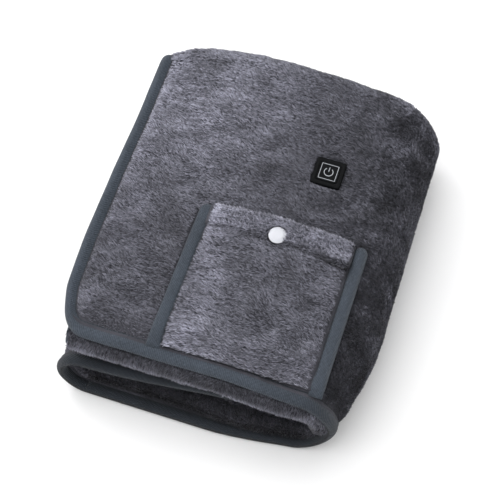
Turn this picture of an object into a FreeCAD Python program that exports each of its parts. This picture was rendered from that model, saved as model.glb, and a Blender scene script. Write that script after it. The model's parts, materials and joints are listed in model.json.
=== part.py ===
import FreeCAD, Part
import math
import os
import Sketcher
from FreeCAD import Rotation, Vector

# Heated plush lap blanket, folded to a parcel. X runs across the roll, Y along it, Z up.
# The blanket is folded in three along Y, so each layer has an outer ply and two inner plies.
# The strip then runs: top flap, right fold, bottom layer, left fold, inner layer (under the flap).
# "Depth" is measured from a layer's outer surface towards the inside of the roll.

doc = FreeCAD.newDocument("heated_blanket")
sheet = doc.addObject("Spreadsheet::Sheet", "Sheet")

DIMENSIONS = [
    ("half_width", 148.0), ("back_edge", 176.0),
    ("roll_radius", 46.5), ("left_radius", 30.75), ("inner_end", 106.0),
    ("seam_angle", 45.0), ("seam_gap", 0.25),
    ("fleece", 3.0), ("ply", 8.0), ("ply_gap", 0.4), ("clearance", 0.1),
    ("flap_front", 154.5), ("flap_ply_front", 162.0),
    ("fold_front", 164.0), ("fold_ply_front", 164.0),
    ("base_front", 176.0), ("base_ply_front", 166.0), ("soft_round", 7.6),
    ("corner_radius", 28.0), ("tape_width", 12.5), ("tape", 0.9), ("lower_inset", 5.0),
    ("pocket_left", -41.2), ("pocket_right", 101.6), ("pocket_mouth", 5.3),
    ("pocket_slope", 12.6), ("cavity", 5.6), ("panel", 3.0), ("hem_depth", 26.0), ("hem", 3.0),
    ("side_gap", 0.7), ("side_tape", 13.0),
    ("snap_x", 28.5), ("snap_y", -8.0), ("cap_radius", 8.5), ("snap_radius", 6.0),
    ("pin_radius", 1.2), ("pin_hole", 1.4), ("post_radius", 2.2), ("socket_bore", 2.5),
    ("button_x", 54.3), ("button_y", 76.0), ("housing_width", 33.0), ("bezel_width", 29.5),
    ("bezel_round", 2.4), ("key_width", 20.6), ("key_hole", 21.2), ("key_round", 2.5),
    ("bezel_top", 4.5), ("key_top", 4.9), ("sign_width", 17.0), ("sign_line", 0.5),
    ("sign_ring", 4.6), ("sign_raise", 0.15),
    ("pad_thickness", 0.6), ("line_radius", 0.4), ("line_passes", 6.0), ("lead_radius", 0.8),
    ("flap_pad_left", -130.0), ("flap_pad_right", 8.0), ("flap_pad_length", 250.0),
    ("base_pad_left", -100.0), ("base_pad_right", 80.0), ("base_pad_length", 270.0),
    ("line_margin", 12.0), ("inlet_x", 88.0), ("inlet_y", -121.0),
    ("grommet_width", 16.0), ("grommet_length", 18.0), ("lead_turn", 12.0),
    ("housing_wall", 0.8), ("housing_height", 4.0), ("board", 0.8),
    ("switch_width", 5.2), ("switch_round", 0.6), ("switch_height", 1.4),
    ("plunger_radius", 1.3), ("plunger_lift", 0.5), ("flange", 1.0), ("guide_lift", 0.4),
    ("guide", 1.0), ("sign_sweep", 290.0),
    ("thermostat_length", 8.0), ("thermostat_width", 3.6), ("supply_run", 25.0),
    ("inlet_rise", 4.5), ("inlet_lift", 0.4), ("inlet_width", 9.4), ("inlet_depth", 9.0),
    ("inlet_metal", 0.3),
    ("snap_disc", 1.0), ("stud_height", 3.6), ("socket_height", 3.2),
]
for row, (alias, number) in enumerate(DIMENSIONS, start=1):
    sheet.set("A%d" % row, alias)
    sheet.set("B%d" % row, str(number))
    sheet.setAlias("B%d" % row, alias)
doc.recompute()


class Size:
    """A length that knows both its value and the spreadsheet expression that gives it."""

    def __init__(self, number, text):
        self.number = number
        self.text = text

    def __add__(self, other):
        other = size_of(other)
        return Size(self.number + other.number, "(%s + %s)" % (self.text, other.text))

    def __sub__(self, other):
        other = size_of(other)
        return Size(self.number - other.number, "(%s - %s)" % (self.text, other.text))

    def __mul__(self, other):
        other = size_of(other)
        return Size(self.number * other.number, "(%s * %s)" % (self.text, other.text))

    def __truediv__(self, other):
        other = size_of(other)
        return Size(self.number / other.number, "(%s / %s)" % (self.text, other.text))

    def __neg__(self):
        return Size(-self.number, "(0 - %s)" % self.text)


def size_of(thing):
    return thing if isinstance(thing, Size) else Size(float(thing), "(%r)" % float(thing))


def cell(alias):
    return Size(float(sheet.get(alias)), "Sheet.%s" % alias)


def polar(centre, radius, angle):
    """Point of the XZ plane at an angle, in degrees from +X towards +Z, around a centre."""
    turn = math.radians(angle.number)
    cosine = Size(math.cos(turn), "cos(%s)" % angle.text)
    sine = Size(math.sin(turn), "sin(%s)" % angle.text)
    return centre[0] + radius * cosine, centre[1] + radius * sine


def bind(item, name, size):
    item.setExpression(name, size_of(size).text)


# ---- sketches -------------------------------------------------------------------------------

def pin_coordinate(sketch, geometry, point, axis, size):
    """Fix one coordinate of a sketch point to a size."""
    size = size_of(size)
    if abs(size.number) < 1e-9:
        other_axis = -2 if axis == "DistanceX" else -1
        sketch.addConstraint(Sketcher.Constraint("PointOnObject", geometry, point, other_axis))
        return
    index = sketch.addConstraint(Sketcher.Constraint(axis, -1, 1, geometry, point, size.number))
    bind(sketch, "Constraints[%d]" % index, size)


def draw_path(sketch, steps, closed=True):
    """Draw straight runs and arcs through the steps: (x, y), or (x, y, centre, clockwise)."""
    steps = [tuple(step) for step in steps]
    pieces = []
    first = 0 if closed else 1
    for number in range(first, len(steps)):
        start, step = steps[number - 1], steps[number]
        a = Vector(size_of(start[0]).number, size_of(start[1]).number, 0)
        b = Vector(size_of(step[0]).number, size_of(step[1]).number, 0)
        if len(step) == 2:
            pieces.append((sketch.addGeometry(Part.LineSegment(a, b)), 1, 2, number))
            continue
        centre = Vector(size_of(step[2][0]).number, size_of(step[2][1]).number, 0)
        low, high = (b, a) if step[3] else (a, b)
        from_angle = math.atan2(low.y - centre.y, low.x - centre.x)
        to_angle = math.atan2(high.y - centre.y, high.x - centre.x)
        if to_angle <= from_angle:
            to_angle += 2 * math.pi
        circle = Part.Circle(centre, Vector(0, 0, 1), (a - centre).Length)
        geometry = sketch.addGeometry(Part.ArcOfCircle(circle, from_angle, to_angle))
        ends = (2, 1) if step[3] else (1, 2)
        pieces.append((geometry, ends[0], ends[1], number))
    for place, (geometry, _, end, number) in enumerate(pieces):
        if closed or place + 1 < len(pieces):
            following = pieces[(place + 1) % len(pieces)]
            sketch.addConstraint(
                Sketcher.Constraint("Coincident", geometry, end, following[0], following[1]))
        pin_coordinate(sketch, geometry, end, "DistanceX", steps[number][0])
        pin_coordinate(sketch, geometry, end, "DistanceY", steps[number][1])
    if not closed:
        pin_coordinate(sketch, pieces[0][0], pieces[0][1], "DistanceX", steps[0][0])
        pin_coordinate(sketch, pieces[0][0], pieces[0][1], "DistanceY", steps[0][1])
    for geometry, _, _, number in pieces:
        step = steps[number]
        if len(step) == 2:
            continue
        start = steps[number - 1]
        rise = abs(size_of(step[1]).number - size_of(start[1]).number)
        across = rise > 1e-6
        axis = "DistanceX" if across else "DistanceY"
        pin_coordinate(sketch, geometry, 3, axis, step[2][0 if across else 1])


def rectangle(left, low, right, high):
    return [(left, low), (right, low), (right, high), (left, high)]


def rounded_square(x, y, width, radius):
    """Square with round corners, centred on a point."""
    half = width / 2
    flat = half - radius
    return [
        (x + flat, y - half),
        (x + half, y - flat, (x + flat, y - flat), False),
        (x + half, y + flat),
        (x + flat, y + half, (x + flat, y + flat), False),
        (x - flat, y + half),
        (x - half, y + flat, (x - flat, y + flat), False),
        (x - half, y - flat),
        (x - flat, y - half, (x - flat, y - flat), False),
    ]


# ---- features -------------------------------------------------------------------------------

nodes = []


def new_body(label):
    body = doc.addObject("PartDesign::Body", label)
    body.Label = label
    nodes.append(body)
    return body


def new_sketch(body, role, offset=0.0):
    """Sketch on one of the body's own origin planes, moved along the plane's normal."""
    plane = [item for item in body.Origin.OriginFeatures if item.Role == role][0]
    sketch = body.newObject("Sketcher::SketchObject", body.Name + "_sketch")
    sketch.AttachmentSupport = (plane, "")
    sketch.MapMode = "FlatFace"
    bind(sketch, "AttachmentOffset.Base.z", offset)
    return sketch


def extrude(body, sketch, length, cut):
    """Pad the sketch along its normal, or cut it away along its normal."""
    kind = "PartDesign::Pocket" if cut else "PartDesign::Pad"
    feature = body.newObject(kind, body.Name + "_slab")
    feature.Profile = sketch
    feature.Reversed = cut
    bind(feature, "Length", length)
    body.Tip = feature


def slab(body, role, low, high, outline, cut=False):
    sketch = new_sketch(body, role, low)
    draw_path(sketch, outline)
    extrude(body, sketch, high - low, cut)


def along_y(body, front, back, outline, cut=False):
    """Slab of an outline in X and Z between two Y positions; the XZ plane's normal is -Y."""
    slab(body, "XZ_Plane", -size_of(back), -size_of(front), outline, cut)


def upright(body, low, high, outline, cut=False):
    slab(body, "XY_Plane", size_of(low), size_of(high), outline, cut)


def across_x(body, left, right, outline, cut=False):
    slab(body, "YZ_Plane", size_of(left), size_of(right), outline, cut)


def add_circle(sketch, u, v, radius):
    centre = Vector(size_of(u).number, size_of(v).number, 0)
    circle = Part.Circle(centre, Vector(0, 0, 1), size_of(radius).number)
    geometry = sketch.addGeometry(circle)
    pin_coordinate(sketch, geometry, 3, "DistanceX", u)
    pin_coordinate(sketch, geometry, 3, "DistanceY", v)
    index = sketch.addConstraint(Sketcher.Constraint("Radius", geometry, circle.Radius))
    bind(sketch, "Constraints[%d]" % index, radius)


def hole(body, x, y, low, high, radius):
    """Round vertical hole."""
    sketch = new_sketch(body, "XY_Plane", low)
    add_circle(sketch, x, y, radius)
    extrude(body, sketch, high - low, cut=True)


def rod(label, left, right, y, z, radius):
    """Round rod along X."""
    body = new_body(label)
    sketch = new_sketch(body, "YZ_Plane", left)
    add_circle(sketch, y, z, radius)
    extrude(body, sketch, right - left, cut=False)


def tube(label, plane, path, section_plane, section_centre, radius):
    """Round lead along a path in one plane; planes are (role, offset), the section starts it."""
    body = new_body(label)
    spine = new_sketch(body, *plane)
    draw_path(spine, path, closed=False)
    section = new_sketch(body, *section_plane)
    add_circle(section, section_centre[0], section_centre[1], radius)
    pipe = body.newObject("PartDesign::AdditivePipe", label + "_pipe")
    pipe.Profile = section
    pipe.Spine = (spine, ["Edge%d" % (number + 1) for number in range(len(path) - 1)])
    body.Tip = pipe


def turned(label, x, y, low, outline):
    """Round piece about a vertical axis, from its half section of radius and height."""
    body = new_body(label)
    for name, size in (("x", x), ("y", y), ("z", low)):
        bind(body, "Placement.Base." + name, size)
    sketch = new_sketch(body, "XZ_Plane")
    draw_path(sketch, outline)
    turn = body.newObject("PartDesign::Revolution", label + "_turn")
    turn.Profile = sketch
    turn.ReferenceAxis = (sketch, ["V_Axis"])
    turn.Angle = 360.0
    body.Tip = turn


def block(label, left, front, low, width, length, height, is_node=True):
    """Plain box piece."""
    item = doc.addObject("Part::Box", label)
    item.Label = label
    for name, size in (("Length", width), ("Width", length), ("Height", height),
                       ("Placement.Base.x", left), ("Placement.Base.y", front),
                       ("Placement.Base.z", low)):
        bind(item, name, size)
    if is_node:
        nodes.append(item)
    return item


def group(label, members):
    """One node of several separate solids."""
    item = doc.addObject("Part::Compound", label)
    item.Label = label
    item.Links = members
    nodes.append(item)


def soften(body, y, rounding, shortest):
    """Round the long edges of the face at one Y position."""
    doc.recompute()
    base = body.Tip
    names = []
    for number, edge in enumerate(base.Shape.Edges, start=1):
        box = edge.BoundBox
        flush = abs(box.YMin - y.number) < 1e-3 and abs(box.YMax - y.number) < 1e-3
        if flush and edge.Length > shortest:
            names.append("Edge%d" % number)
    fillet = body.newObject("PartDesign::Fillet", body.Name + "_soft")
    fillet.Base = (base, names)
    bind(fillet, "Radius", rounding)
    body.Tip = fillet


# ---- main lines of the folded blanket -------------------------------------------------------

roll = cell("roll_radius")
left_roll = cell("left_radius")
top = roll * 2
inner_top = left_roll * 2
flap_left = -cell("half_width")
fold_x = cell("half_width") - roll
left_x = left_roll - cell("half_width")
fleece = cell("fleece")
ply = cell("ply")
tape = cell("tape")
tape_width = cell("tape_width")
clearance = cell("clearance")
second_ply = ply + cell("ply_gap")
layer = ply * 3 + cell("ply_gap") * 2
fold_y = cell("back_edge") - layer / 2
fold_centre = (fold_x, roll)
left_centre = (left_x, left_roll)
tucked = tape + clearance
behind_tape = tape_width + clearance
nothing = size_of(0)


def seam(sign, side):
    """Angle of a cut through the right fold, a little to one side of its line."""
    return (cell("seam_angle") + cell("seam_gap") * side) * sign


def fold_strip(shallow, deep):
    """Section, seen along Y, of cloth between two depths in the middle of the right fold."""
    first, last = seam(1, -1), seam(-1, -1)
    return [polar(fold_centre, roll - shallow, first),
            polar(fold_centre, roll - shallow, last) + (fold_centre, True),
            polar(fold_centre, roll - deep, last),
            polar(fold_centre, roll - deep, first) + (fold_centre, False)]


def flap_strip(shallow, deep, left=None):
    """The same over the top flap and its part of the fold, or over that part alone."""
    cut = seam(1, 1)
    arch = [(fold_x, top - shallow),
            polar(fold_centre, roll - shallow, cut) + (fold_centre, True),
            polar(fold_centre, roll - deep, cut),
            (fold_x, top - deep, fold_centre, False)]
    if left is None:
        return arch
    return [(left, top - shallow)] + arch + [(left, top - deep)]


def base_strip(shallow, deep, end):
    """The same from the right fold along the bottom, round the left fold, to the inner end."""
    cut = seam(-1, 1)
    return [polar(fold_centre, roll - shallow, cut),
            (fold_x, shallow, fold_centre, True),
            (left_x, shallow),
            (left_x, inner_top - shallow, left_centre, True),
            (end, inner_top - shallow),
            (end, inner_top - deep),
            (left_x, inner_top - deep),
            (left_x, deep, left_centre, False),
            (fold_x, deep),
            polar(fold_centre, roll - deep, cut) + (fold_centre, False)]


def folded_plies(label, front, main, back, tongue=None):
    """Inner plies of a layer, with their round front fold and the fold behind all plies."""
    body = new_body(label)
    along_y(body, front, fold_y, main)
    soften(body, front, cell("soft_round"), layer.number)
    along_y(body, fold_y, cell("back_edge"), back)
    soften(body, cell("back_edge"), layer / 2 - clearance * 8, layer.number)
    if tongue is not None:
        along_y(body, front + layer / 2, fold_y, tongue)


def end_channel(label, closed_x, open_x, high, low, front, back):
    """Edge tape folded round an end of the cloth: a channel along Y, open towards open_x."""
    wall = tape if open_x.number > closed_x.number else -tape
    body = new_body(label)
    along_y(body, front, back, [
        (closed_x, high), (open_x, high), (open_x, high - tape), (closed_x + wall, high - tape),
        (closed_x + wall, low + tape), (open_x, low + tape), (open_x, low), (closed_x, low)])


# ---- top flap: outer ply --------------------------------------------------------------------

flap_front = -cell("flap_front")
button_x, button_y = cell("button_x"), cell("button_y")
snap_x, snap_y = cell("snap_x"), cell("snap_y")
inlet_x, inlet_y = cell("inlet_x"), cell("inlet_y")
grommet_left = inlet_x - cell("grommet_width") / 2
grommet_front = inlet_y - cell("grommet_length") / 2
grommet_back = inlet_y + cell("grommet_length") / 2


def flap_plan(inset):
    """Plan outline of the top flap's outer ply, inside its edge by an inset."""
    left = flap_left + inset
    front = flap_front + inset
    turn = cell("corner_radius") - inset
    return [(fold_x, fold_y), (left, fold_y), (left, front + turn),
            (left + turn, front, (left + turn, front + turn), False), (fold_x, front)]


def flap_band(outer, inner):
    """Plan outline of a band along the flap's left and front edges, between two insets."""
    bend = (flap_left + cell("corner_radius"), flap_front + cell("corner_radius"))
    return [(flap_left + outer, fold_y), (flap_left + outer, bend[1]),
            (bend[0], flap_front + outer, bend, False), (fold_x, flap_front + outer),
            (fold_x, flap_front + inner), (bend[0], flap_front + inner),
            (flap_left + inner, bend[1], bend, True), (flap_left + inner, fold_y)]


def flap_shell(label, shallow, deep, edge_shallow, edge_deep):
    """One fleece of the flap's outer ply; its edge is pressed thin inside the tape."""
    body = new_body(label)
    upright(body, top - deep, top - shallow, flap_plan(behind_tape))
    along_y(body, flap_front + behind_tape, fold_y, flap_strip(shallow, deep))
    upright(body, top - edge_deep, top - edge_shallow, flap_plan(tucked))
    along_y(body, flap_front + tucked, fold_y, flap_strip(edge_shallow, edge_deep))
    return body


face = flap_shell("flap_face_fleece", nothing, fleece, tucked, fleece)
upright(face, top - fleece, top,
        rounded_square(button_x, button_y, cell("housing_width") + clearance * 6,
                       cell("bezel_round")), cut=True)
hole(face, snap_x, snap_y, top - fleece, top, cell("pin_hole"))
upright(face, top - fleece, top,
        rectangle(grommet_left - clearance, grommet_front - clearance,
                  grommet_left + cell("grommet_width") + clearance, grommet_back + clearance),
        cut=True)
flap_shell("flap_back_fleece", ply - fleece, ply, ply - fleece, ply - tucked)

binding = new_body("flap_edge_binding")
upright(binding, top - ply, top, flap_band(nothing, tape_width))
along_y(binding, flap_front, flap_front + tape_width, flap_strip(nothing, ply))
upright(binding, top - ply + tape, top - tape, flap_band(tape, behind_tape), cut=True)
along_y(binding, flap_front + tape, flap_front + behind_tape, flap_strip(tape, ply - tape), cut=True)
across_x(binding, flap_left, flap_left + tape_width, [
    (fold_y, top),
    (fold_y, top - layer, (fold_y, top - layer / 2), True)])

# ---- top flap: inner plies ------------------------------------------------------------------

lower_left = flap_left + cell("lower_inset")
folded_plies("flap_inner_plies", -cell("flap_ply_front"),
             flap_strip(second_ply, layer, lower_left + behind_tape),
             flap_strip(nothing, layer, flap_left + behind_tape),
             flap_strip(second_ply + tucked, layer - tucked, lower_left + tucked))
end_channel("flap_inner_binding", lower_left, lower_left + tape_width, top - second_ply,
            top - layer, layer / 2 - cell("flap_ply_front"), fold_y - clearance)

# ---- right fold -----------------------------------------------------------------------------

fold_front = -cell("fold_front")


def fold_shell(label, shallow, deep, edge_shallow, edge_deep):
    body = new_body(label)
    along_y(body, fold_front + behind_tape, fold_y, fold_strip(shallow, deep))
    along_y(body, fold_front + tucked, fold_y, fold_strip(edge_shallow, edge_deep))


fold_shell("fold_face_fleece", nothing, fleece, tucked, fleece)
fold_shell("fold_back_fleece", ply - fleece, ply, ply - fleece, ply - tucked)
folded_plies("fold_inner_plies", -cell("fold_ply_front"), fold_strip(second_ply, layer),
             fold_strip(nothing, layer))
binding = new_body("fold_edge_binding")
along_y(binding, fold_front, fold_front + tape_width, fold_strip(nothing, ply))
along_y(binding, fold_front + tape, fold_front + behind_tape, fold_strip(tape, ply - tape), cut=True)

# ---- bottom layer, left fold and inner layer ------------------------------------------------

base_front = -cell("base_front")
inner_end = cell("inner_end")
pressed_end = inner_end - tucked
plain_end = inner_end - behind_tape


def base_shell(label, shallow, deep, edge_shallow, edge_deep):
    body = new_body(label)
    along_y(body, base_front + behind_tape, fold_y, base_strip(shallow, deep, plain_end))
    along_y(body, base_front + tucked, fold_y, base_strip(edge_shallow, edge_deep, pressed_end))


base_shell("base_face_fleece", nothing, fleece, tucked, fleece)
base_shell("base_back_fleece", ply - fleece, ply, ply - fleece, ply - tucked)
folded_plies("base_inner_plies", -cell("base_ply_front"),
             base_strip(second_ply, layer, plain_end), base_strip(nothing, layer, inner_end),
             base_strip(second_ply + tucked, layer - tucked, pressed_end))
binding = new_body("base_edge_binding")
along_y(binding, base_front, base_front + tape_width, base_strip(nothing, ply, inner_end))
along_y(binding, base_front + tape, base_front + behind_tape,
        base_strip(tape, ply - tape, inner_end - tape), cut=True)
end_channel("inner_end_binding", inner_end, inner_end - tape_width, inner_top, inner_top - ply,
            base_front + behind_tape, fold_y - clearance)
end_channel("inner_ply_binding", inner_end, inner_end - tape_width, inner_top - second_ply,
            inner_top - layer, layer / 2 - cell("base_ply_front"), fold_y - clearance)

# ---- heating pads ---------------------------------------------------------------------------

pad_thickness = cell("pad_thickness")
line_radius = cell("line_radius")
lead_radius = cell("lead_radius")
lead_depth = ply / 2
pad_depth = fleece + clearance * 2
line_depth = pad_depth + pad_thickness + clearance + line_radius


def heating_pad(name, left, right, length, surface):
    """Felt carrier and the heating line laid on it in even passes, under an outer surface."""
    low = surface - pad_depth - pad_thickness if name != "bottom" else surface + pad_depth
    height = surface - line_depth if name != "bottom" else surface + line_depth
    block(name + "_heating_pad", left, -length / 2, low, right - left, length, pad_thickness)
    passes = int(cell("line_passes").number)
    first = left + cell("line_margin")
    pitch = (right - left - cell("line_margin") * 2) / (cell("line_passes") - 1)
    far = length / 2 - cell("line_margin") - pitch / 2
    path = [(first, -far)]
    for number in range(passes):
        column = first + pitch * number
        upward = number % 2 == 0
        path.append((column, far if upward else -far))
        if number + 1 < passes:
            turn = (column + pitch / 2, far if upward else -far)
            path.append((column + pitch, turn[1], turn, upward))
    tube(name + "_heating_line", ("XY_Plane", height), path, ("XZ_Plane", far), (first, height),
         line_radius)


heating_pad("flap", cell("flap_pad_left"), cell("flap_pad_right"), cell("flap_pad_length"), top)
for name, surface in (("bottom", nothing), ("inner", inner_top)):
    heating_pad(name, cell("base_pad_left"), cell("base_pad_right"), cell("base_pad_length"),
                surface)

# ---- controller under the power button ------------------------------------------------------

housing_width = cell("housing_width")
housing_half = housing_width / 2
housing_low = top - ply + fleece + clearance
wall = cell("housing_wall")
housing = new_body("controller_housing")
upright(housing, housing_low, housing_low + cell("housing_height"),
        rounded_square(button_x, button_y, housing_width, cell("bezel_round")))
upright(housing, housing_low + wall, housing_low + cell("housing_height"),
        rounded_square(button_x, button_y, housing_width - wall * 2, cell("key_round")), cut=True)

board_low = housing_low + wall + clearance
board = new_body("controller_board")
upright(board, board_low, board_low + cell("board"),
        rounded_square(button_x, button_y, housing_width - wall * 2 - clearance * 4,
                       cell("key_round")))
board_top = board_low + cell("board")


def board_part(label, dx, dy, width, length, height, is_node=True):
    """Small component standing on the board, centred on an offset from the button."""
    return block(label, button_x + (dx - width / 2), button_y + (dy - length / 2), board_top,
                 size_of(width), size_of(length), size_of(height), is_node)


switch = new_body("tact_switch")
upright(switch, board_top, board_top + cell("switch_height"),
        rounded_square(button_x, button_y, cell("switch_width"), cell("switch_round")))
hole(switch, button_x, button_y, board_top, board_top + cell("switch_height"),
     cell("plunger_radius") + clearance)
board_part("driver_chip", -8.5, -7.0, 4.9, 3.9, 1.1)
board_part("power_transistor", 8.0, -7.5, 6.5, 5.5, 1.2)
lamps = [board_part("lamp_%d" % number, dx, 9.0, 1.6, 0.8, 0.6, is_node=False)
         for number, dx in enumerate((-6.0, -2.0, 2.0, 6.0))]
group("indicator_lamps", lamps)

bezel_low = housing_low + cell("housing_height") + clearance
bezel = new_body("button_bezel")
upright(bezel, bezel_low, bezel_low + cell("flange"),
        rounded_square(button_x, button_y, housing_width, cell("bezel_round")))
upright(bezel, bezel_low + cell("flange"), top + cell("bezel_top"),
        rounded_square(button_x, button_y, cell("bezel_width"), cell("bezel_round")))
upright(bezel, bezel_low, top + cell("bezel_top"),
        rounded_square(button_x, button_y, cell("key_hole"), cell("key_round")), cut=True)

guide_low = bezel_low + cell("guide_lift")
plunger = new_body("switch_plunger")
plunger_low = board_top + cell("plunger_lift")
sketch = new_sketch(plunger, "XY_Plane", plunger_low)
add_circle(sketch, button_x, button_y, cell("plunger_radius"))
extrude(plunger, sketch, guide_low - plunger_low, cut=False)
guide = new_body("light_guide")
upright(guide, guide_low, guide_low + cell("guide"),
        rounded_square(button_x, button_y, cell("key_width") - 1, cell("key_round")))
key_low = guide_low + cell("guide")
key_top = top + cell("key_top")
key = new_body("power_key")
upright(key, key_low, key_top,
        rounded_square(button_x, button_y, cell("key_width"), cell("key_round")))


def sign_box(name, half_x, low_y, high_y):
    return block(name, button_x - half_x, button_y + low_y, key_top, half_x * 2,
                 high_y - low_y, cell("sign_raise"), is_node=False)


def sign_disc(name, disc_radius, angle):
    """Disc, or the sector of one that leaves a gap towards the back."""
    item = doc.addObject("Part::Cylinder", name)
    bind(item, "Radius", disc_radius)
    bind(item, "Height", cell("sign_raise"))
    bind(item, "Angle", angle)
    item.Placement.Rotation = Rotation(Vector(0, 0, 1), 90 + (360 - angle.number) / 2)
    bind(item, "Placement.Base.x", button_x)
    bind(item, "Placement.Base.y", button_y)
    bind(item, "Placement.Base.z", key_top)
    return item


def difference(name, base, tool):
    item = doc.addObject("Part::Cut", name)
    item.Base = base
    item.Tool = tool
    return item


line = cell("sign_line")
frame_half = cell("sign_width") / 2
frame = difference("sign_frame", sign_box("sign_outer", frame_half, -frame_half, frame_half),
                   sign_box("sign_inner", frame_half - line, line - frame_half, frame_half - line))
ring = difference("sign_ring", sign_disc("ring_outer", cell("sign_ring"), cell("sign_sweep")),
                  sign_disc("ring_inner", cell("sign_ring") - line * 1.3, size_of(360)))
bar = sign_box("sign_bar", line * 0.65, line, cell("sign_ring") + line)
group("key_sign", [frame, ring, bar])

# ---- leads, thermostat and inlet ------------------------------------------------------------

lead_z = top - lead_depth
thermostat_left = cell("flap_pad_right") + 1
thermostat_right = thermostat_left + cell("thermostat_length")
block("thermostat", thermostat_left, button_y - cell("thermostat_width") / 2,
      lead_z - lead_radius, thermostat_right - thermostat_left, cell("thermostat_width"),
      lead_radius * 2)
rod("flap_pad_lead", thermostat_right, button_x - housing_half, button_y, lead_z, lead_radius)

turn = cell("lead_turn")
supply_y = button_y - housing_half
bend_y = supply_y - cell("supply_run")
tube("supply_lead", ("XY_Plane", lead_z),
     [(button_x, supply_y), (button_x, bend_y),
      (button_x + turn, bend_y - turn, (button_x + turn, bend_y), False),
      (inlet_x - turn, bend_y - turn),
      (inlet_x, bend_y - turn * 2, (inlet_x - turn, bend_y - turn * 2), True),
      (inlet_x, grommet_back)],
     ("XZ_Plane", -supply_y), (button_x, lead_z), lead_radius)

lead_roll = roll - lead_depth
lead_left_roll = left_roll - lead_depth
housing_right = button_x + housing_half
tube("flap_fold_lead", ("XZ_Plane", -button_y),
     [(housing_right, lead_z), (fold_x, lead_z),
      polar(fold_centre, lead_roll, seam(1, 1)) + (fold_centre, True)],
     ("YZ_Plane", housing_right), (button_y, lead_z), lead_radius)
tube("base_lead", ("XZ_Plane", -button_y),
     [(cell("base_pad_right"), lead_depth), (fold_x, lead_depth),
      polar(fold_centre, lead_roll, seam(-1, 1)) + (fold_centre, False)],
     ("YZ_Plane", cell("base_pad_right")), (button_y, lead_depth), lead_radius)
tube("left_fold_lead", ("XZ_Plane", -button_y),
     [(cell("base_pad_left"), lead_depth), (left_x, lead_depth),
      (left_x, inner_top - lead_depth, left_centre, True),
      (cell("base_pad_left"), inner_top - lead_depth)],
     ("YZ_Plane", cell("base_pad_left")), (button_y, lead_depth), lead_radius)

fold_lead = doc.addObject("Part::Torus", "fold_lead")
fold_lead.Label = "fold_lead"
bind(fold_lead, "Radius1", lead_roll)
bind(fold_lead, "Radius2", lead_radius)
bind(fold_lead, "Angle3", (cell("seam_angle") - cell("seam_gap")) * 2)
start_turn = cell("seam_angle").number - cell("seam_gap").number
fold_lead.Placement.Rotation = Rotation(Vector(1, 0, 0), 90).multiply(
    Rotation(Vector(0, 0, 1), -start_turn))
for axis, size in (("x", fold_x), ("y", button_y), ("z", roll)):
    bind(fold_lead, "Placement.Base." + axis, size)
nodes.append(fold_lead)

inlet_low = housing_low
inlet_high = top + cell("inlet_rise")
grommet = new_body("inlet_grommet")
upright(grommet, inlet_low, inlet_high,
        rectangle(grommet_left, grommet_front, grommet_left + cell("grommet_width"), grommet_back))
socket_half = cell("inlet_width") / 2
socket_low = top + cell("inlet_lift")
socket_high = inlet_high - cell("inlet_lift") * 1.4
socket_front = grommet_back - cell("inlet_depth")
upright(grommet, socket_low, socket_high,
        rectangle(inlet_x - socket_half, socket_front, inlet_x + socket_half, grommet_back + 1),
        cut=True)
shell = new_body("inlet_socket")
upright(shell, socket_low, socket_high,
        rectangle(inlet_x - socket_half, socket_front, inlet_x + socket_half, grommet_back))
metal = cell("inlet_metal")
upright(shell, socket_low + metal, socket_high - metal,
        rectangle(inlet_x - socket_half + metal, socket_front + metal * 4,
                  inlet_x + socket_half - metal, grommet_back + 1), cut=True)

# ---- pocket ---------------------------------------------------------------------------------

pocket_left = cell("pocket_left")
pocket_right = cell("pocket_right")
mouth = cell("pocket_mouth")
side_gap = cell("side_gap")
seam_y = flap_front + tape_width + clearance * 4
slope = cell("pocket_slope")
panel = cell("panel")
hem = cell("hem")
seat = top + clearance * 2
panel_low = top + cell("cavity")
panel_high = panel_low + panel
leaf_low = panel_high + clearance * 2
leaf_high = leaf_low + hem
hem_edge = mouth - hem

pocket = new_body("pocket_panel")
across_x(pocket, pocket_left + side_gap, pocket_right - side_gap, [
    (seam_y, seat), (seam_y + slope, panel_low), (hem_edge - clearance, panel_low),
    (hem_edge - clearance, panel_high), (seam_y + slope - panel / 3, panel_high),
    (seam_y, seat + panel)])
hole(pocket, snap_x, snap_y, panel_low, panel_high, cell("pin_hole"))

facing = new_body("pocket_hem")
across_x(facing, pocket_left + side_gap, pocket_right - side_gap, [
    (mouth, panel_low), (mouth, leaf_high), (mouth - cell("hem_depth"), leaf_high),
    (mouth - cell("hem_depth"), leaf_low), (hem_edge, leaf_low), (hem_edge, panel_low)])
hole(facing, snap_x, snap_y, leaf_low, leaf_high, cell("pin_hole"))

side_tape = cell("side_tape")
for name, edge, sense in (("left", pocket_left, -1), ("right", pocket_right, 1)):
    body = new_body("pocket_%s_binding" % name)
    outer = edge + side_tape * sense
    along_y(body, seam_y, mouth, [
        (edge, seat), (edge, panel_high), (edge + side_tape * (0.35 * sense), panel_high),
        (outer, seat + tape * 2), (outer, seat)])

# ---- snap fastener --------------------------------------------------------------------------

pin = cell("pin_radius")
snap_radius = cell("snap_radius")
cap_radius = cell("cap_radius")
post = cell("post_radius")
disc = cell("snap_disc")
stud_height = cell("stud_height")
socket_height = cell("socket_height")
pin_length = leaf_high - panel_low + clearance

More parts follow.
